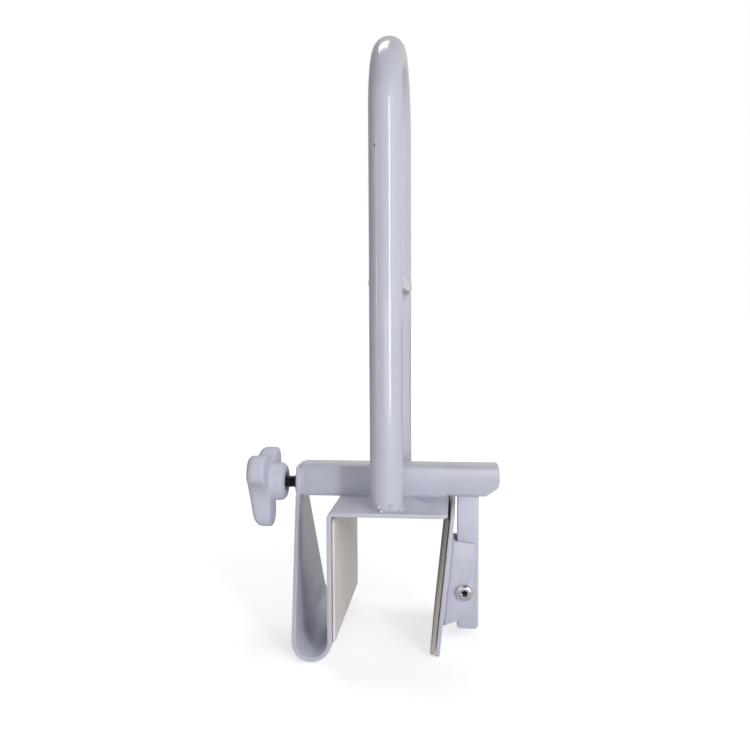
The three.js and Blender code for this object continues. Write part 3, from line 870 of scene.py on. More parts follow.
@dataclass(frozen=True)
class Ripple:
    """Smooth noise that moves the surface of a weld in and out."""

    height: float
    size: float
    seed: int

    def over(self, weld: Piece, number: int) -> None:
        """Ripples a weld.

        Args:
            weld: The smooth weld.
            number: Its number, which picks its own pattern.
        """
        seed = self.seed + number
        shift = Vector((seed, 2 * seed, 3 * seed))
        for vert in weld.data.vertices:
            vert.co += vert.normal * self.height * noise.noise(vert.co / self.size + shift)


@dataclass
class Assembly:
    """Pieces that are built together and move with one body."""

    materials: dict[Slot, bpy.types.Material]
    body: Body = Body.FRAME

    def done(
        self, piece: Piece, nodes: Sequence[str] = (), slot: Slot = Slot.PAINT, angle: float = 32
    ) -> None:
        """Smooths and dresses a piece and hands it to the body.

        Args:
            piece: The finished mesh.
            nodes: The nodes of the frame that it stands for.
            slot: The record's slot of its finish.
            angle: Edges that turn by more than this many degrees stay sharp.
        """
        activate(piece)
        bpy.ops.object.shade_smooth_by_angle(angle=math.radians(angle))
        piece.data.materials.clear()
        piece.data.materials.append(self.materials[slot])
        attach(piece, self.body.value)
        if nodes:
            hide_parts(*nodes)

    def welded(self, weld: Piece, ripple: Ripple, number: int) -> None:
        """Ripples a weld and finishes it."""
        ripple.over(weld, number)
        self.done(weld, angle=60)

    def dressed(self, name: str, node: str, slot: Slot = Slot.PAINT, width: float = 0) -> None:
        """Finishes a copy of a node of the frame, with its faces joined up and cleaned.

        Args:
            name: The piece's name.
            node: The node that it stands for, which stays as it is.
            slot: The record's slot of its finish.
            width: The width of its rounded edges, 0 for none.
        """
        piece = FRAME["nodes"][node].copy()
        piece.data = piece.data.copy()
        piece.name = name
        bpy.context.collection.objects.link(piece)
        piece.parent = None
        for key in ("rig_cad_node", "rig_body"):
            if key in piece:
                del piece[key]
        with editing(piece, "VERT", "SELECT"):
            bpy.ops.mesh.customdata_custom_splitnormals_clear()
            bpy.ops.mesh.remove_doubles(threshold=DOUBLES / 2)
            bpy.ops.mesh.dissolve_limited(angle_limit=math.radians(0.6))
        if width:
            soften(piece, width, angle=40)
        self.done(piece, [node], slot)


@dataclass
class GrabRail(Assembly):
    """The bent tube, its crossbar and the welds that hold them."""

    radius: float = 12.7 * MM
    wall: float = 1.5 * MM
    leg: float = 54.9 * MM
    foot: float = 3.5 * MM
    spring: float = 305.3 * MM
    bend_steps: int = 72
    crossbar_height: float = 176.2 * MM
    crossbar_bead: float = 1.1 * MM
    crossbar_ripple: Ripple = Ripple(0.35 * MM, 1.6 * MM, 2)
    vent_radius: float = 0.9 * MM
    vent_height: float = 276.2 * MM
    vent_turn: float = math.radians(-34)
    weld_width: float = 2.9 * MM
    weld_height: float = 2.8 * MM
    weld_inset: float = 0.3 * MM
    weld_sink: float = 0.15 * MM
    weld_ripple: Ripple = Ripple(0.3 * MM, 3.5 * MM, 40)
    # Angle from the leg's outer side, distance from the tube, height and radius of each drop
    spatter: tuple[tuple[float, float, float, float], ...] = (
        (-24, -0.3 * MM, 3.5 * MM, 1.7 * MM),
        (-13, 0.9 * MM, 0.5 * MM, 1.8 * MM),
        (22, -0.3 * MM, 4.1 * MM, 1.9 * MM),
        (57, 0.5 * MM, 0.4 * MM, 2.0 * MM),
        (-70, 1.2 * MM, 0.2 * MM, 1.0 * MM),
        (150, 2.2 * MM, 0.4 * MM, 0.8 * MM),
    )

    def build(self) -> None:
        """Makes the rail, the crossbar and their welds."""
        self._tube()
        self._crossbar()
        self._foot_welds()
        self._crossbar_welds()

    def _tube(self) -> None:
        """Draws a circle up one leg, round the bend and down the other, then gives it its wall."""
        deselect()
        bpy.ops.mesh.primitive_circle_add(
            vertices=64, radius=self.radius, location=(0, -self.leg, self.foot), fill_type="NOTHING"
        )
        tube = named("rail_tube")
        rise = self.spring - self.foot
        with editing(tube, "EDGE", "SELECT"):
            extrude((0, 0, rise))
            bpy.ops.mesh.spin(
                steps=self.bend_steps, angle=math.pi, center=(0, 0, self.spring), axis=(1, 0, 0)
            )
            extrude((0, 0, -rise))
            close_up(DOUBLES)
        modify(tube, "SOLIDIFY", thickness=self.wall, offset=-1)
        aim = Vector((math.sin(self.vent_turn), -math.cos(self.vent_turn), 0))
        depth = self.radius / 2
        drill = bar("vent_drill", Axis.Z, self.vent_radius, -depth, depth, (0, 0), 24)
        turn = aim.to_track_quat("Z", "Y").to_matrix().to_4x4()
        spot = Vector((0, -self.leg, self.vent_height)) + aim * self.radius
        drill.data.transform(Matrix.Translation(spot) @ turn)
        carve(tube, drill)
        self.done(tube, ["grab_rail"])

    def _crossbar(self) -> None:
        """Makes the cross tube and copes its ends to the legs."""
        middle = (0, self.crossbar_height)
        tube = bar("cross_tube", Axis.Y, self.radius, -self.leg, self.leg, middle)
        low, high = (self.crossbar_height + side * 3 * self.radius for side in (-1, 1))
        for _, side in SIDES:
            place = (0, side * self.leg)
            carve(tube, bar("leg_tool", Axis.Z, self.radius + SEAT_GAP, low, high, place))
        self.done(tube, ["crossbar"])

    def _foot_welds(self) -> None:
        """Lays a smooth fillet weld with a few drops of spatter round the foot of each leg."""
        inner, outer = self.radius - self.weld_inset, self.radius + self.weld_width
        profile = [(inner, 0.1 * MM), (inner, self.weld_height)]
        profile += arc(self.radius, 0.05 * MM, self.weld_width, self.weld_height, 10)
        profile += [(outer, -self.weld_sink), (inner, -self.weld_sink), profile[0]]
        for number, side in SIDES:
            foot = Vector((0, side * self.leg, SHEET))
            weld = turned(f"foot_weld_{number}", profile, Axis.Z, foot, 144)
            self.weld_ripple.over(weld, number)
            drops = [self._drop(foot, side, *spot) for spot in self.spatter]
            activate(weld)
            for drop in drops:
                drop.select_set(True)
            bpy.ops.object.join()
            self.done(weld, angle=60)

    def _drop(
        self, foot: Vector, side: int, angle: float, away: float, rise: float, size: float
    ) -> Piece:
        """Makes one drop of weld spatter, half sunk in the plate or the fillet.

        Args:
            foot: The centre of the leg's foot.
            side: -1 for the near leg, 1 for the far one.
            angle: Where it lies round the leg, in degrees from the leg's outer side.
            away: How far it lies from the tube.
            rise: How far its centre lies above the plate.
            size: Its radius.

        Returns:
            The drop.
        """
        turn = math.radians(angle)
        out = Vector((math.sin(turn), side * math.cos(turn), 0)) * (self.radius + away)
        deselect()
        bpy.ops.mesh.primitive_uv_sphere_add(
            segments=24, ring_count=14, radius=size, location=foot + out + Vector((0, 0, rise))
        )
        return named("weld_drop")

    def _crossbar_welds(self) -> None:
        """Lays a thin weld round each end of the crossbar, thinnest at its sides."""
        steps = 120
        for number, side in SIDES:
            points = []
            for step in range(steps):
                turn = math.tau * step / steps
                across, up = math.cos(turn), math.sin(turn)
                reach = self.leg - (self.radius + 0.4 * MM) * abs(up)
                radius = self.radius + (0.3 - 0.9 * abs(across)) * MM
                height = self.crossbar_height + radius * up
                points.append((radius * across, side * reach, height))
            weld = bead(f"crossbar_weld_{number}", points, self.crossbar_bead, closed=True)
            self.welded(weld, self.crossbar_ripple, number)


@dataclass
class ClampFrame(Assembly):
    """The strip bent into plate, fixed jaw, loop and tapered strap, with its pad."""

    half_depth: float = 73.49 * MM
    plate_end: float = 47.28 * MM
    jaw_middle: float = -42.4 * MM
    bend_radius: float = 3.1 * MM
    loop_centre: float = -56.9 * MM
    loop_radius: float = 14.5 * MM
    loop_drop: float = 97 * MM
    lean: float = math.radians(3.3)
    strap_top: float = 27 * MM
    strap_face: float = -75.41 * MM
    neck: float = 16.5 * MM
    neck_foot: float = 7.3 * MM
    taper_drop: float = 108.8 * MM
    corner: float = 7 * MM
    top_corner: float = 4 * MM
    edge: float = 0.45 * MM
    overrun: float = 8 * MM
    slot_start: float = 13 * MM
    slot_half: float = 9 * MM
    slot_corner: float = 3 * MM
    rod_hole: float = 5.4 * MM
    beam_half: float = 12.5 * MM
    weld_ends: Pair = (3.4 * MM, 25 * MM)
    weld_width: float = 2.6 * MM
    weld_ripple: Ripple = Ripple(0.25 * MM, 3.5 * MM, 10)
    seam_width: float = 2.4 * MM
    seam_height: float = 2.8 * MM
    seam_inset: float = 2.2 * MM
    seam_ripple: Ripple = Ripple(0.16 * MM, 5 * MM, 30)
    crown: float = 0.25 * MM

    def build(self) -> None:
        """Makes the strip, the welds beside the beam and the fixed pad."""
        self._strip()
        self._beam_welds()
        self._seams()
        pad = cushion("fixed_jaw_pad", *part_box("fixed_pad"), self.crown)
        self.done(pad, ["fixed_pad"], Slot.FIXED_PAD, 50)

    def _strip(self) -> None:
        """Bends a flat strip along its middle, trims the strap, and gives it its thickness."""
        start, middle = self.jaw_middle + self.bend_radius, SHEET / 2
        place = ((self.plate_end + start) / 2, 0, middle)
        deselect()
        bpy.ops.mesh.primitive_plane_add(size=1, location=place)
        bpy.context.object.scale = (self.plate_end - start, 2 * self.half_depth, 1)
        strip = named("clamp_strip")
        centre = middle - self.bend_radius
        with editing(strip, "EDGE"):
            pick(strip, "EDGE", lambda place, way: place.x < start + NEAR)
            bpy.ops.mesh.spin(
                steps=12, angle=math.pi / 2, center=(start, 0, centre), axis=(0, 1, 0)
            )
            extrude((0, 0, -self.loop_drop - centre))
            bpy.ops.mesh.spin(
                steps=40,
                angle=math.pi - self.lean,
                center=(self.loop_centre, 0, -self.loop_drop),
                axis=(0, -1, 0),
            )
            rise = middle + self.loop_drop + self.loop_radius * math.sin(self.lean)
            extrude((-rise * math.tan(self.lean), 0, rise))
            extrude((0, 0, self.strap_top - middle))
            pick(strip, "VERT", lambda place, way: place.x > self.plate_end - NEAR)
            bpy.ops.mesh.bevel(offset=self.corner, segments=8, affect="VERTICES")
        modify(strip, "SOLIDIFY", thickness=SHEET, offset=0)
        self._trim(strip)
        self._holes(strip)
        soften(strip, self.edge)
        self.done(strip, ["clamp_frame"])

    def _trim(self, strip: Piece) -> None:
        """Cuts the strap to its neck, its round top corners and its taper on both sides.

        Args:
            strip: The strip with its thickness.
        """
        edge, high = self.half_depth + self.overrun, self.strap_top + self.overrun
        outline = [(edge, -self.taper_drop), (self.half_depth, -self.taper_drop)]
        outline.append((self.neck, self.neck_foot))
        outline += arc(self.neck, self.strap_top, -self.top_corner, -self.top_corner)
        outline += [(self.neck - self.top_corner, high), (edge, high)]
        reach = 40 * MM
        start = self.loop_centre - reach
        for _, side in SIDES:
            corners = [(start, side * y, z) for y, z in outline]
            carve(strip, prism("trim_tool", corners, (reach, 0, 0)))

    def _holes(self, strip: Piece) -> None:
        """Cuts the slot for the arm and the hole for the screw.

        Args:
            strip: The strip with its thickness.
        """
        low = (self.slot_start, -self.slot_half, -5 * MM)
        slot = block("slot_tool", low, (self.plate_end + 9 * MM, self.slot_half, SHEET + 0.1 * MM))
        inner = self.slot_start + NEAR
        round_corners(slot, Axis.Z, self.slot_corner, where=lambda place: place.x < inner)
        carve(strip, slot)
        centre = (0, SCREW_HEIGHT)
        carve(strip, bar("hole_tool", Axis.X, self.rod_hole, -90 * MM, -70 * MM, centre, 48))

    def _beam_welds(self) -> None:
        """Lays the upright welds in the corners between strap and beam."""
        face, wide = self.strap_face - 0.2 * MM, self.weld_width
        low, high = self.weld_ends
        outline = [(self.beam_half - 0.4 * MM, face)]
        outline += arc(self.beam_half - 0.1 * MM, self.strap_face, wide, wide)
        outline.append((self.beam_half + wide, face))
        for number, side in SIDES:
            corners = [(x, side * y, low) for y, x in outline]
            weld = prism(f"beam_weld_{number}", corners, (0, 0, high - low))
            slices(weld, Axis.Z, low, high, 60)
            self.welded(weld, self.weld_ripple, number)

    def _seams(self) -> None:
        """Runs smooth fillet welds along the foot of the beam on the plate."""
        start, end = self.strap_face + 2 * MM, self.plate_end - 2 * MM
        inner, under = self.beam_half - self.seam_inset, SHEET - 0.15 * MM
        side_foot = (self.beam_half - 0.06 * MM, SHEET + 0.04 * MM)
        outline = [(inner, under), (inner, SHEET + 1.4 * MM)]
        outline += arc(*side_foot, self.seam_width, self.seam_height)
        outline.append((self.beam_half + self.seam_width, under))
        for number, side in SIDES:
            corners = [(start, side * y, z) for y, z in outline]
            seam = prism(f"beam_seam_{number}", corners, (end - start, 0, 0))
            slices(seam, Axis.X, start, end, 90)
            self.welded(seam, self.seam_ripple, number)


@dataclass
class Beam(Assembly):
    """The square tube on the plate and the strip that closes its nose."""

    half: float = 12.5 * MM
    wall: float = 1.5 * MM
    corner: float = 3 * MM
    edge: float = 0.35 * MM
    bottom: float = 3.5 * MM
    start: float = -75.1 * MM
    end: float = 88.48 * MM
    slope_length: float = 12 * MM
    slope_height: float = 8 * MM
    nose_radius: float = 4.5 * MM
    slot_start: float = 13 * MM
    slot_end: float = 75.78 * MM
    slot_half: float = 9 * MM
    slot_corner: float = 3 * MM

    def build(self) -> None:
        """Makes the tube with its nose cut and its slot, and dresses the strip in its nose."""
        top, over = self.bottom + 2 * self.half, self.end + 20 * MM
        low = (self.start, -self.half, self.bottom)
        tube = block("beam_square_tube", low, (over, self.half, top))
        hollow(tube, Axis.X, self.corner, 7, self.wall)
        carve(tube, self._nose_tool(top), "INTERSECT")
        high = (self.slot_end, self.slot_half, self.bottom + 2 * self.wall)
        slot = block("slot_tool", (self.slot_start, -self.slot_half, 0), high)
        round_corners(slot, Axis.Z, self.slot_corner)
        carve(tube, slot)
        soften(tube, self.edge)
        self.done(tube, ["beam_tube"])
        self.dressed("nose_strip", "beam_nose_plate")

    def _nose_tool(self, top: float) -> Piece:
        """Makes the solid outline that trims the nose.

        Args:
            top: The height of the beam's top.

        Returns:
            The tool.
        """
        chin, radius = self.bottom + self.slope_height, self.nose_radius
        run = radius * self.slope_length / self.slope_height / 2
        ends = [(self.end - run, chin - radius / 2), (self.end, chin), (self.end, chin + radius)]
        low, high, back = self.bottom - MM, top + MM, self.start - MM
        outline = [(back, low), (self.end - self.slope_length - 1.5 * MM, low)]
        for share in (step / 10 for step in range(11)):
            weights = ((1 - share) ** 2, 2 * share * (1 - share), share**2)
            outline.append([sum(w * end[i] for w, end in zip(weights, ends)) for i in (0, 1)])
        outline += arc(self.end, top, -radius, -radius, 10)
        outline += [(self.end - radius, high), (back, high)]
        half = self.half + MM
        return prism("nose_tool", [(x, -half, z) for x, z in outline], (0, 2 * half, 0))


@dataclass
class HandScrew(Assembly):
    """The threaded rod with its collar, pin, knob and insert."""

    body: Body = Body.SCREW
    major: float = 5.0 * MM
    minor: float = 4.25 * MM
    pitch: float = 1.5 * MM
    start: float = -111.2 * MM
    end: float = 77.88 * MM
    tip_chamfer: float = 1.2 * MM
    collar_edge: float = 0.4 * MM
    hub_face: float = -89.8 * MM
    head_face: float = -101.9 * MM
    front: float = -120.6 * MM
    reach: float = 38.8 * MM
    valley: float = 18 * MM
    tip_radius: float = 12.3 * MM
    rounding: float = 5 * MM
    rear_rounding: float = 2.6 * MM
    dome: float = 5 * MM
    face_rings: tuple[float, ...] = (0.8, 0.8, 0.78, 0.7, 0.6, 0.45)
    lobes: int = 3
    tip_steps: int = 26
    flute_steps: int = 16
    hub_radius: float = 16 * MM
    hub_rounding: float = 5 * MM
    hub_bore: float = 7.8 * MM
    hub_sink: float = 6 * MM

    def build(self) -> None:
        """Makes the rod, the collar and the knob, and dresses the small pieces."""
        self._rod()
        low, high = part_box("thrust_collar")
        size = (self.major + SEAT_GAP, (high.y - low.y) / 2, high.x - low.x)
        collar = ring("collar", size, self.collar_edge, Axis.X, (low.x, 0, SCREW_HEIGHT))
        self.done(collar, ["thrust_collar"], Slot.BLACK)
        self._knob()
        for node, slot in (("retaining_pin", Slot.ZINC), ("knob_insert", Slot.BRASS)):
            self.dressed(f"{node}_turned", node, slot, 0.2 * MM)

    def _rod(self) -> None:
        """Winds one pitch of thread into the rod and closes its ends."""
        flat = self.pitch / 8
        flank = (self.pitch - 2 * flat) / 2
        profile = [(self.minor, 0), (self.minor, flat), (self.major, flat + flank)]
        profile += [(self.major, 2 * flat + flank), (self.minor, self.pitch)]
        before = self.start - self.pitch
        rod = drawn("screw_rod", [(before + along, 0, radius) for radius, along in profile])
        modify(
            rod,
            "SCREW",
            axis="X",
            angle=math.tau,
            screw_offset=self.pitch,
            iterations=math.ceil((self.end - self.start) / self.pitch) + 2,
            steps=24,
            render_steps=24,
            use_merge_vertices=True,
            merge_threshold=DOUBLES,
        )
        rod.data.transform(Matrix.Translation((0, 0, SCREW_HEIGHT)))
        with editing(rod, "VERT", "SELECT"):
            bpy.ops.mesh.remove_doubles(threshold=DOUBLES)
            for place, side in ((self.start, -1), (self.end, 1)):
                bpy.ops.mesh.select_all(action="SELECT")
                bpy.ops.mesh.bisect(
                    plane_co=(place, 0, 0), plane_no=(side, 0, 0), clear_outer=True, use_fill=True
                )
            close_up()
        for vert in rod.data.vertices:
            chamfer = self.major - max(0.0, vert.co.x - (self.end - self.tip_chamfer))
            across = Vector((0, vert.co.y, vert.co.z - SCREW_HEIGHT))
            if across.length > chamfer:
                across *= chamfer / across.length
                vert.co = Vector((vert.co.x, across.y, across.z + SCREW_HEIGHT))
        self.done(rod, ["threaded_rod"], Slot.BLACK, 25)

    def _outline(self) -> list[Pair]:
        """Draws the outline of the head, round tips joined by hollow flutes.

        Returns:
            The points round the axis, in Y and Z.
        """
        centre = self.reach - self.tip_radius
        half = math.pi / self.lobes
        spread = 2 * math.cos(half) * centre
        rise = centre**2 + self.valley**2 - spread * self.valley - self.tip_radius**2
        flute = rise / (2 * self.tip_radius - 2 * self.valley + spread)
        away = self.valley + flute
        tip_turn = math.atan2(away * math.sin(half), away * math.cos(half) - centre)
        flute_turn = tip_turn - half
        arcs = []
        for lobe in range(self.lobes):
            aim = -math.pi / 2 + 2 * half * lobe
            for step in range(self.tip_steps + 1):
                turn = aim - tip_turn + 2 * tip_turn * step / self.tip_steps
                arcs.append((aim, centre, turn, self.tip_radius))
            for step in range(1, self.flute_steps):
                turn = aim + half + math.pi + flute_turn - 2 * flute_turn * step / self.flute_steps
                arcs.append((aim + half, away, turn, flute))
        return [
            tuple(distance * way(aim) + radius * way(turn) for way in (math.cos, math.sin))
            for aim, distance, turn, radius in arcs
        ]

    def _knob(self) -> None:
        """Makes the lobed head, rounds and domes it, and joins the hub with its bore."""
        front, rear = self.front + self.rounding, self.head_face - self.rear_rounding
        corners = [(rear, y, SCREW_HEIGHT + z) for y, z in self._outline()]
        head = prism("knob_shell", corners, (front - rear, 0, 0))
        with editing(head):
            for side, radius in ((1, self.rear_rounding), (-1, self.rounding)):
                pick(head, "FACE", lambda place, way: side * way.x > 0.9)
                rim = arc(0, 0, radius, radius)
                for (inset, left), (wider, lower) in zip(rim, rim[1:]):
                    bpy.ops.mesh.inset(
                        thickness=wider - inset, depth=left - lower, use_even_offset=True
                    )
            for share in self.face_rings:
                bpy.ops.mesh.extrude_region()
                bpy.ops.transform.resize(
                    value=(1, share, share), center_override=(self.front, 0, SCREW_HEIGHT)
                )
            bpy.ops.mesh.merge(type="CENTER")
        for vert in head.data.vertices:
            if vert.co.x < front + NEAR:
                distance = math.hypot(vert.co.y, vert.co.z - SCREW_HEIGHT)
                vert.co.x += self.dome * (distance / self.reach) ** 2
        carve(head, self._hub(), "UNION")
        soften(head, 0.4 * MM, 3, 45)
        self.done(head, ["knob_body"], Slot.KNOB, 40)

    def _hub(self) -> Piece:
        """Turns the hub with its rounded shoulder and the bore for the insert.

        Returns:
            The hub, reaching into the head.
        """
        length, edge = self.hub_face - self.head_face, 0.5 * MM
        profile = [(self.hub_bore, -self.hub_sink), (self.hub_radius, -self.hub_sink)]
        profile += arc(self.hub_radius, length, -self.hub_rounding, -self.hub_rounding)
        profile += [(self.hub_bore + edge, length), (self.hub_bore, length - edge), profile[0]]
        return turned("hub_tool", profile, Axis.X, (self.head_face, 0, SCREW_HEIGHT), 96)


@dataclass
class Carriage(Assembly):
    """The block in the beam with the hanging arm, the pivot bolt, its washers and its nut."""

    body: Body = Body.CARRIAGE
    inner: float = 53.99 * MM
    outer: float = 71.78 * MM
    half: float = 8.6 * MM
    wall: float = 1.5 * MM
    corner: float = 2 * MM
    edge: float = 0.3 * MM
    top: float = 5.1 * MM
    foot: float = -108.2 * MM
    foot_radius: float = 3.5 * MM
    bolt_hole: float = 4.3 * MM
    shank: float = 4 * MM
    bolt_end: float = 24 * MM
    head_seat: float = -13.6 * MM
    head_radius: float = 7.2 * MM
    head_height: float = 4.4 * MM
    head_land: float = 1.0 * MM
    head_curve: float = 0.45
    socket: float = 2.9 * MM
    socket_depth: float = 2.6 * MM
    nut_radius: float = 7.5 * MM
    washer_edge: float = 0.2 * MM

    def build(self) -> None:
        """Makes the arm and the pivot hardware."""
        self._arm()
        self._bolt()
        self._nut()
        for node in ("near_spacer_washer", "far_spacer_washer", "nut_washer"):
            low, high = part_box(node)
            size = (self.bolt_hole, (high.x - low.x) / 2, high.y - low.y)
            foot = (PIVOT[0], low.y, PIVOT[1])
            washer = ring(f"{node}_turned", size, self.washer_edge, Axis.Y, foot)
            self.done(washer, [node], Slot.ZINC)
        for node, slot in (("slide_block", Slot.ZINC), ("arm_foot_plate", Slot.PAINT)):
            self.dressed(f"{node}_dressed", node, slot, 0.25 * MM)

    def _arm(self) -> None:
        """Makes the square arm with its rounded foot and the holes for the bolt."""
        low, high = (self.inner, -self.half, self.foot), (self.outer, self.half, self.top)
        arm = block("hanging_arm", low, high)
        hollow(arm, Axis.Z, self.corner, 6, self.wall)
        low = (self.inner, -2 * self.half, self.foot)
        shoe = block("shoe_tool", low, (self.outer, 2 * self.half, 2 * self.top))
        round_corners(shoe, Axis.Y, self.foot_radius, 8, lambda place: place.z < 0)
        carve(arm, shoe, "INTERSECT")
        self._drill(arm, -20 * MM, 20 * MM)
        soften(arm, self.edge)
        self.done(arm, ["arm_tube"])

    def _drill(self, piece: Piece, start: float, end: float) -> None:
        """Drills the bolt's holes in a piece, between two places on Y."""
        carve(piece, bar("drill_tool", Axis.Y, self.bolt_hole, start, end, PIVOT, 40))

    def _bolt(self) -> None:
        """Turns the button-head bolt and presses its hexagon socket."""
        shank, tip = self.shank, self.bolt_end - self.head_seat
        rise, curve = self.head_height - self.head_land, -self.head_curve * self.head_radius
        crown = arc(-self.head_height, self.head_radius, rise, curve, 10)
        profile = [(0, -self.head_height)] + [(radius, along) for along, radius in crown]
        profile += [(self.head_radius, 0), (shank, 0), (shank, tip - 1 * MM)]
        profile += [(shank - 0.8 * MM, tip), (0, tip)]
        bolt = turned("button_bolt", profile, Axis.Y, (PIVOT[0], self.head_seat, PIVOT[1]), 72)
        start = self.head_seat - self.head_height
        bottom = start + self.socket_depth
        carve(bolt, bar("socket_tool", Axis.Y, self.socket, start - MM, bottom, PIVOT, 6))
        soften(bolt, 0.15 * MM, angle=40)
        self.done(bolt, ["pivot_bolt"], Slot.CHROME, 30)

    def _nut(self) -> None:
        """Makes the chamfered nut with its locking ring."""
        low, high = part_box("pivot_nut")
        radius, height = self.nut_radius, high.y - low.y
        nut = bar("lock_nut", Axis.Y, radius, low.y, high.y, PIVOT, 6)
        profile = [(0, 0), (radius - 1.1 * MM, 0), (radius + 0.1 * MM, 0.7 * MM)]
        profile += [(radius + 0.1 * MM, height - 2.0 * MM), (radius - 2.0 * MM, height - 0.9 * MM)]
        profile += [(radius - 2.3 * MM, height), (0, height)]
        crown = turned("crown_tool", profile, Axis.Y, (PIVOT[0], low.y, PIVOT[1]))
        carve(nut, crown, "INTERSECT")
        self._drill(nut, low.y - MM, high.y + MM)
        soften(nut, 0.15 * MM, angle=30)
        self.done(nut, ["pivot_nut"], Slot.ZINC, 30)


@dataclass
class SwingJaw(Assembly):
    """The padded plate that swings on the pivot, with its channel bracket."""

    body: Body = Body.JAW
    tilt: float = math.radians(6)
    half_width: float = 55.5 * MM
    above: float = 73.1 * MM
    below: float = 40 * MM
    setback: float = 15.4 * MM
    corner: float = 3 * MM
    edge: float = 0.4 * MM
    pad: float = 4.2 * MM
    pad_inset: float = 0.5 * MM
    pad_drop: float = 3.6 * MM
    crown: float = 0.5 * MM
    weld_radius: float = 1.3 * MM
    weld_across: float = 13.4 * MM
    weld_ends: Pair = (-26 * MM, 38 * MM)
    weld_steps: int = 60
    weld_ripple: Ripple = Ripple(0.3 * MM, 3 * MM, 20)
    weld_rings: Pair = (0.15 * MM, 0.4 * MM)  # height and spacing

    def build(self) -> None:
        """Makes the plate, its pad, the bracket and its welds."""
        back, half = -self.setback - SHEET, self.half_width
        plate = block("swing_plate", (back, -half, -self.below), (-self.setback, half, self.above))
        round_corners(plate, Axis.X, self.corner)
        soften(plate, self.edge)
        self.done(self._placed(plate), ["jaw_plate"])
        back, half = back - SEAT_GAP, half - self.pad_inset
        low = (back - self.pad, -half, -self.below + self.pad_inset)
        pad = cushion("swing_jaw_pad", low, (back, half, self.above - self.pad_drop), self.crown)
        self.done(self._placed(pad), ["jaw_pad"], Slot.JAW_PAD, 50)
        self.dressed("jaw_bracket", "clevis_bracket", width=0.35 * MM)
        self._lug_welds()

    def _placed(self, piece: Piece) -> Piece:
        """Tilts a piece drawn round the pivot and moves it there.

        Args:
            piece: The piece.

        Returns:
            The same piece.
        """
        turn = Matrix.Rotation(self.tilt, 4, "Y")
        piece.data.transform(Matrix.Translation((PIVOT[0], 0, PIVOT[1])) @ turn)
        return piece

    def _lug_welds(self) -> None:
        """Lays the welds between the lugs and the jaw plate."""
        (low, high), (ring_height, spacing) = self.weld_ends, self.weld_rings
        steps = self.weld_steps
        heights = [low + (high - low) * step / steps for step in range(steps + 1)]
        for number, side in SIDES:
            place = (-self.setback + 0.3 * MM, side * self.weld_across)
            points = [(*place, height) for height in heights]
            weld = bead(f"lug_weld_{number}", points, self.weld_radius, closed=False)
            for vert in weld.data.vertices:
                vert.co += vert.normal * ring_height * math.sin(vert.co.z / spacing)
            self.weld_ripple.over(weld, number)
            self.done(self._placed(weld), angle=60)


# The studio


@dataclass
class PhotoCamera:
    """The camera fitted to the photograph."""

    place: Triple = (55.93 * MM, -661.96 * MM, 149.56 * MM)
    yaw: float = math.radians(6.05)
    pitch: float = math.radians(4.07)
    roll: float = math.radians(-0.27)
    focal_share: float = 801.7 / 750
    sensor: float = 36.0
    clip: Pair = (0.02, 50)

    def build(self) -> None:
        """Makes the camera and hands it to the scene."""
        data = bpy.data.cameras.new("photo_camera")
        data.sensor_width = self.sensor
        data.lens = self.sensor * self.focal_share
        data.clip_start, data.clip_end = self.clip
        camera = bpy.data.objects.new("photo_camera", data)
        bpy.context.scene.collection.objects.link(camera)
        matrix = Matrix.Translation(self.place)
        for angle, axis in ((self.yaw, "Z"), (math.pi / 2 - self.pitch, "X"), (self.roll, "Z")):
            matrix = matrix @ Matrix.Rotation(angle, 4, axis)
        camera.matrix_world = matrix
        bpy.context.scene.camera = camera


@dataclass(frozen=True)
class SoftLamp:
    """A rectangular white lamp that faces a point of the rail."""

    name: str
    place: Triple
    size: Pair
    power: float
    aim: Triple = (0, 0, 0.13)

    def build(self) -> None:
        """Makes the lamp."""
        data = bpy.data.lights.new(self.name, "AREA")
        data.shape = "RECTANGLE"
        data.size, data.size_y = self.size
        data.energy = self.power
        lamp = bpy.data.objects.new(self.name, data)
        bpy.context.scene.collection.objects.link(lamp)
        lamp.location = self.place
        way = Vector(self.aim) - Vector(self.place)
        lamp.rotation_euler = way.to_track_quat("-Z", "Y").to_euler()


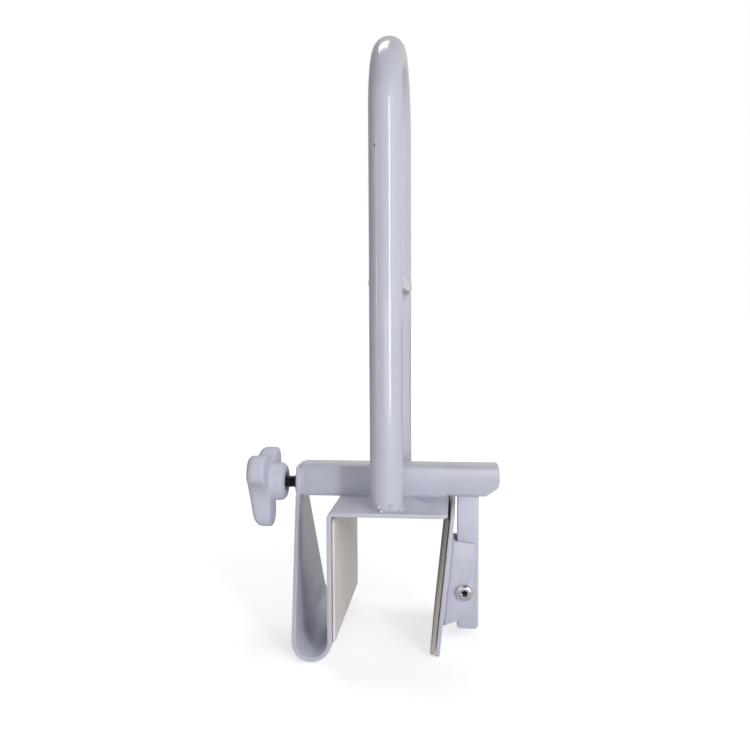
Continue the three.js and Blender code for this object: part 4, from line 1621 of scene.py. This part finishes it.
@dataclass
class Studio:
    """Floor, sky and lamps."""

    floor_height: float
    floor_size: float = 60
    floor_colour: float = 0.8
    glow: Pair = (0.6, 1.0)
    glow_reach: Pair = (0.25, 1.6)
    sky_high: Triple = (0.7, 0.7, 0.1)  # from the right, the back and above
    sky_low: Triple = (0.01, 0.355, 0.1)  # from the left, the front and below
    lamps: tuple[SoftLamp, ...] = (
        SoftLamp("strip_lamp", (0.95, -1.5, 0.3), (0.18, 1.5), 13.2),
        SoftLamp("key_lamp", (1.25, -1.0, 0.75), (0.7, 1.1), 2.35),
        SoftLamp("left_lamp", (-1.47, -0.93, 0.27), (0.045, 0.9), 2.5),
        SoftLamp("low_lamp", (0.4, -1.3, 0.06), (1.2, 0.3), 1.9),
        SoftLamp("top_lamp", (-0.29, 0.48, 1.6), (0.74, 0.54), 5.8, (-0.29, 0.4801, 0)),
    )

    def build(self) -> None:
        """Makes the floor, the sky and the lamps."""
        self._floor()
        self._sky()
        for lamp in self.lamps:
            lamp.build()

    def _floor(self) -> None:
        """Lays the pale floor, which shows white and keeps the rail's shadow."""
        deselect()
        place = (0, 0, self.floor_height)
        bpy.ops.mesh.primitive_plane_add(size=self.floor_size, location=place)
        floor = named("floor")
        recipe = Recipe("pale_floor")
        away = recipe.vector("LENGTH", recipe.place, output="Value")
        factors = {
            0: recipe.add("LightPath", "Is Camera Ray"),
            1: recipe.span(away, *self.glow_reach, *self.glow),
        }
        recipe.set(
            Base_Color=(*[self.floor_colour] * 3, 1),
            Roughness=1,
            Specular_IOR_Level=0,
            Emission_Color=(1, 1, 1, 1),
            Emission_Strength=recipe.add("Math", "Value", factors, operation="MULTIPLY"),
        )
        floor.data.materials.append(recipe.material)
        floor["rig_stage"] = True

    def _sky(self) -> None:
        """Sets the sky, white where the camera sees it and shaded by direction where it lights."""
        world = bpy.data.worlds.new("studio_sky")
        bpy.context.scene.world = world
        world.use_nodes = True
        wiring = Wiring(world.node_tree, "Generated")
        lobes = [self._lobes(wiring, *row) for row in ((1, self.sky_high), (-1, self.sky_low))]
        light = wiring.add("Math", "Value", dict(enumerate(lobes)), operation="ADD")
        camera = wiring.add("LightPath", "Is Camera Ray")
        shader = world.node_tree.nodes["Background"]
        wiring.lead((1, 1, 1, 1), shader.inputs["Color"])
        wiring.lead(wiring.span(camera, 0, 1, light), shader.inputs["Strength"])

    def _lobes(self, wiring: Wiring, sign: int, levels: Triple) -> Socket:
        """Adds up three soft lobes of light, one along each axis.

        Args:
            wiring: The sky's nodes.
            sign: 1 for the lobes along the axes, -1 for those against them.
            levels: The brightness in the middle of each lobe.

        Returns:
            The brightness.
        """
        way = wiring.vector("MULTIPLY", wiring.place, (sign, sign, sign))
        kept = wiring.vector("MAXIMUM", way, (0, 0, 0))
        squared = wiring.vector("MULTIPLY", kept, kept)
        return wiring.vector("DOT_PRODUCT", squared, levels, output="Value")


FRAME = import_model()
CAD_BOX = [list(corner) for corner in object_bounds()]


def main() -> None:
    """Builds every sub-assembly in order, then the studio."""
    logging.basicConfig(level=logging.INFO)
    bpy.context.scene.view_settings.view_transform = "Standard"
    PhotoCamera().build()
    recipes = {slot: Recipe(slot.value) for slot in FINISHES}
    for slot, look in FINISHES.items():
        look.dress(recipes[slot])
    materials = {slot: recipe.material for slot, recipe in recipes.items()}
    for assembly in (ClampFrame, GrabRail, Beam, HandScrew, Carriage, SwingJaw):
        assembly(materials).build()
        LOG.info("built %s", assembly.__name__)
    Studio(floor_height=CAD_BOX[0][2] - 0.2 * MM).build()
    deselect()
    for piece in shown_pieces():
        LOG.info("piece %s: %d faces", piece.name, len(piece.data.polygons))


if __name__ == "__main__":
    main()
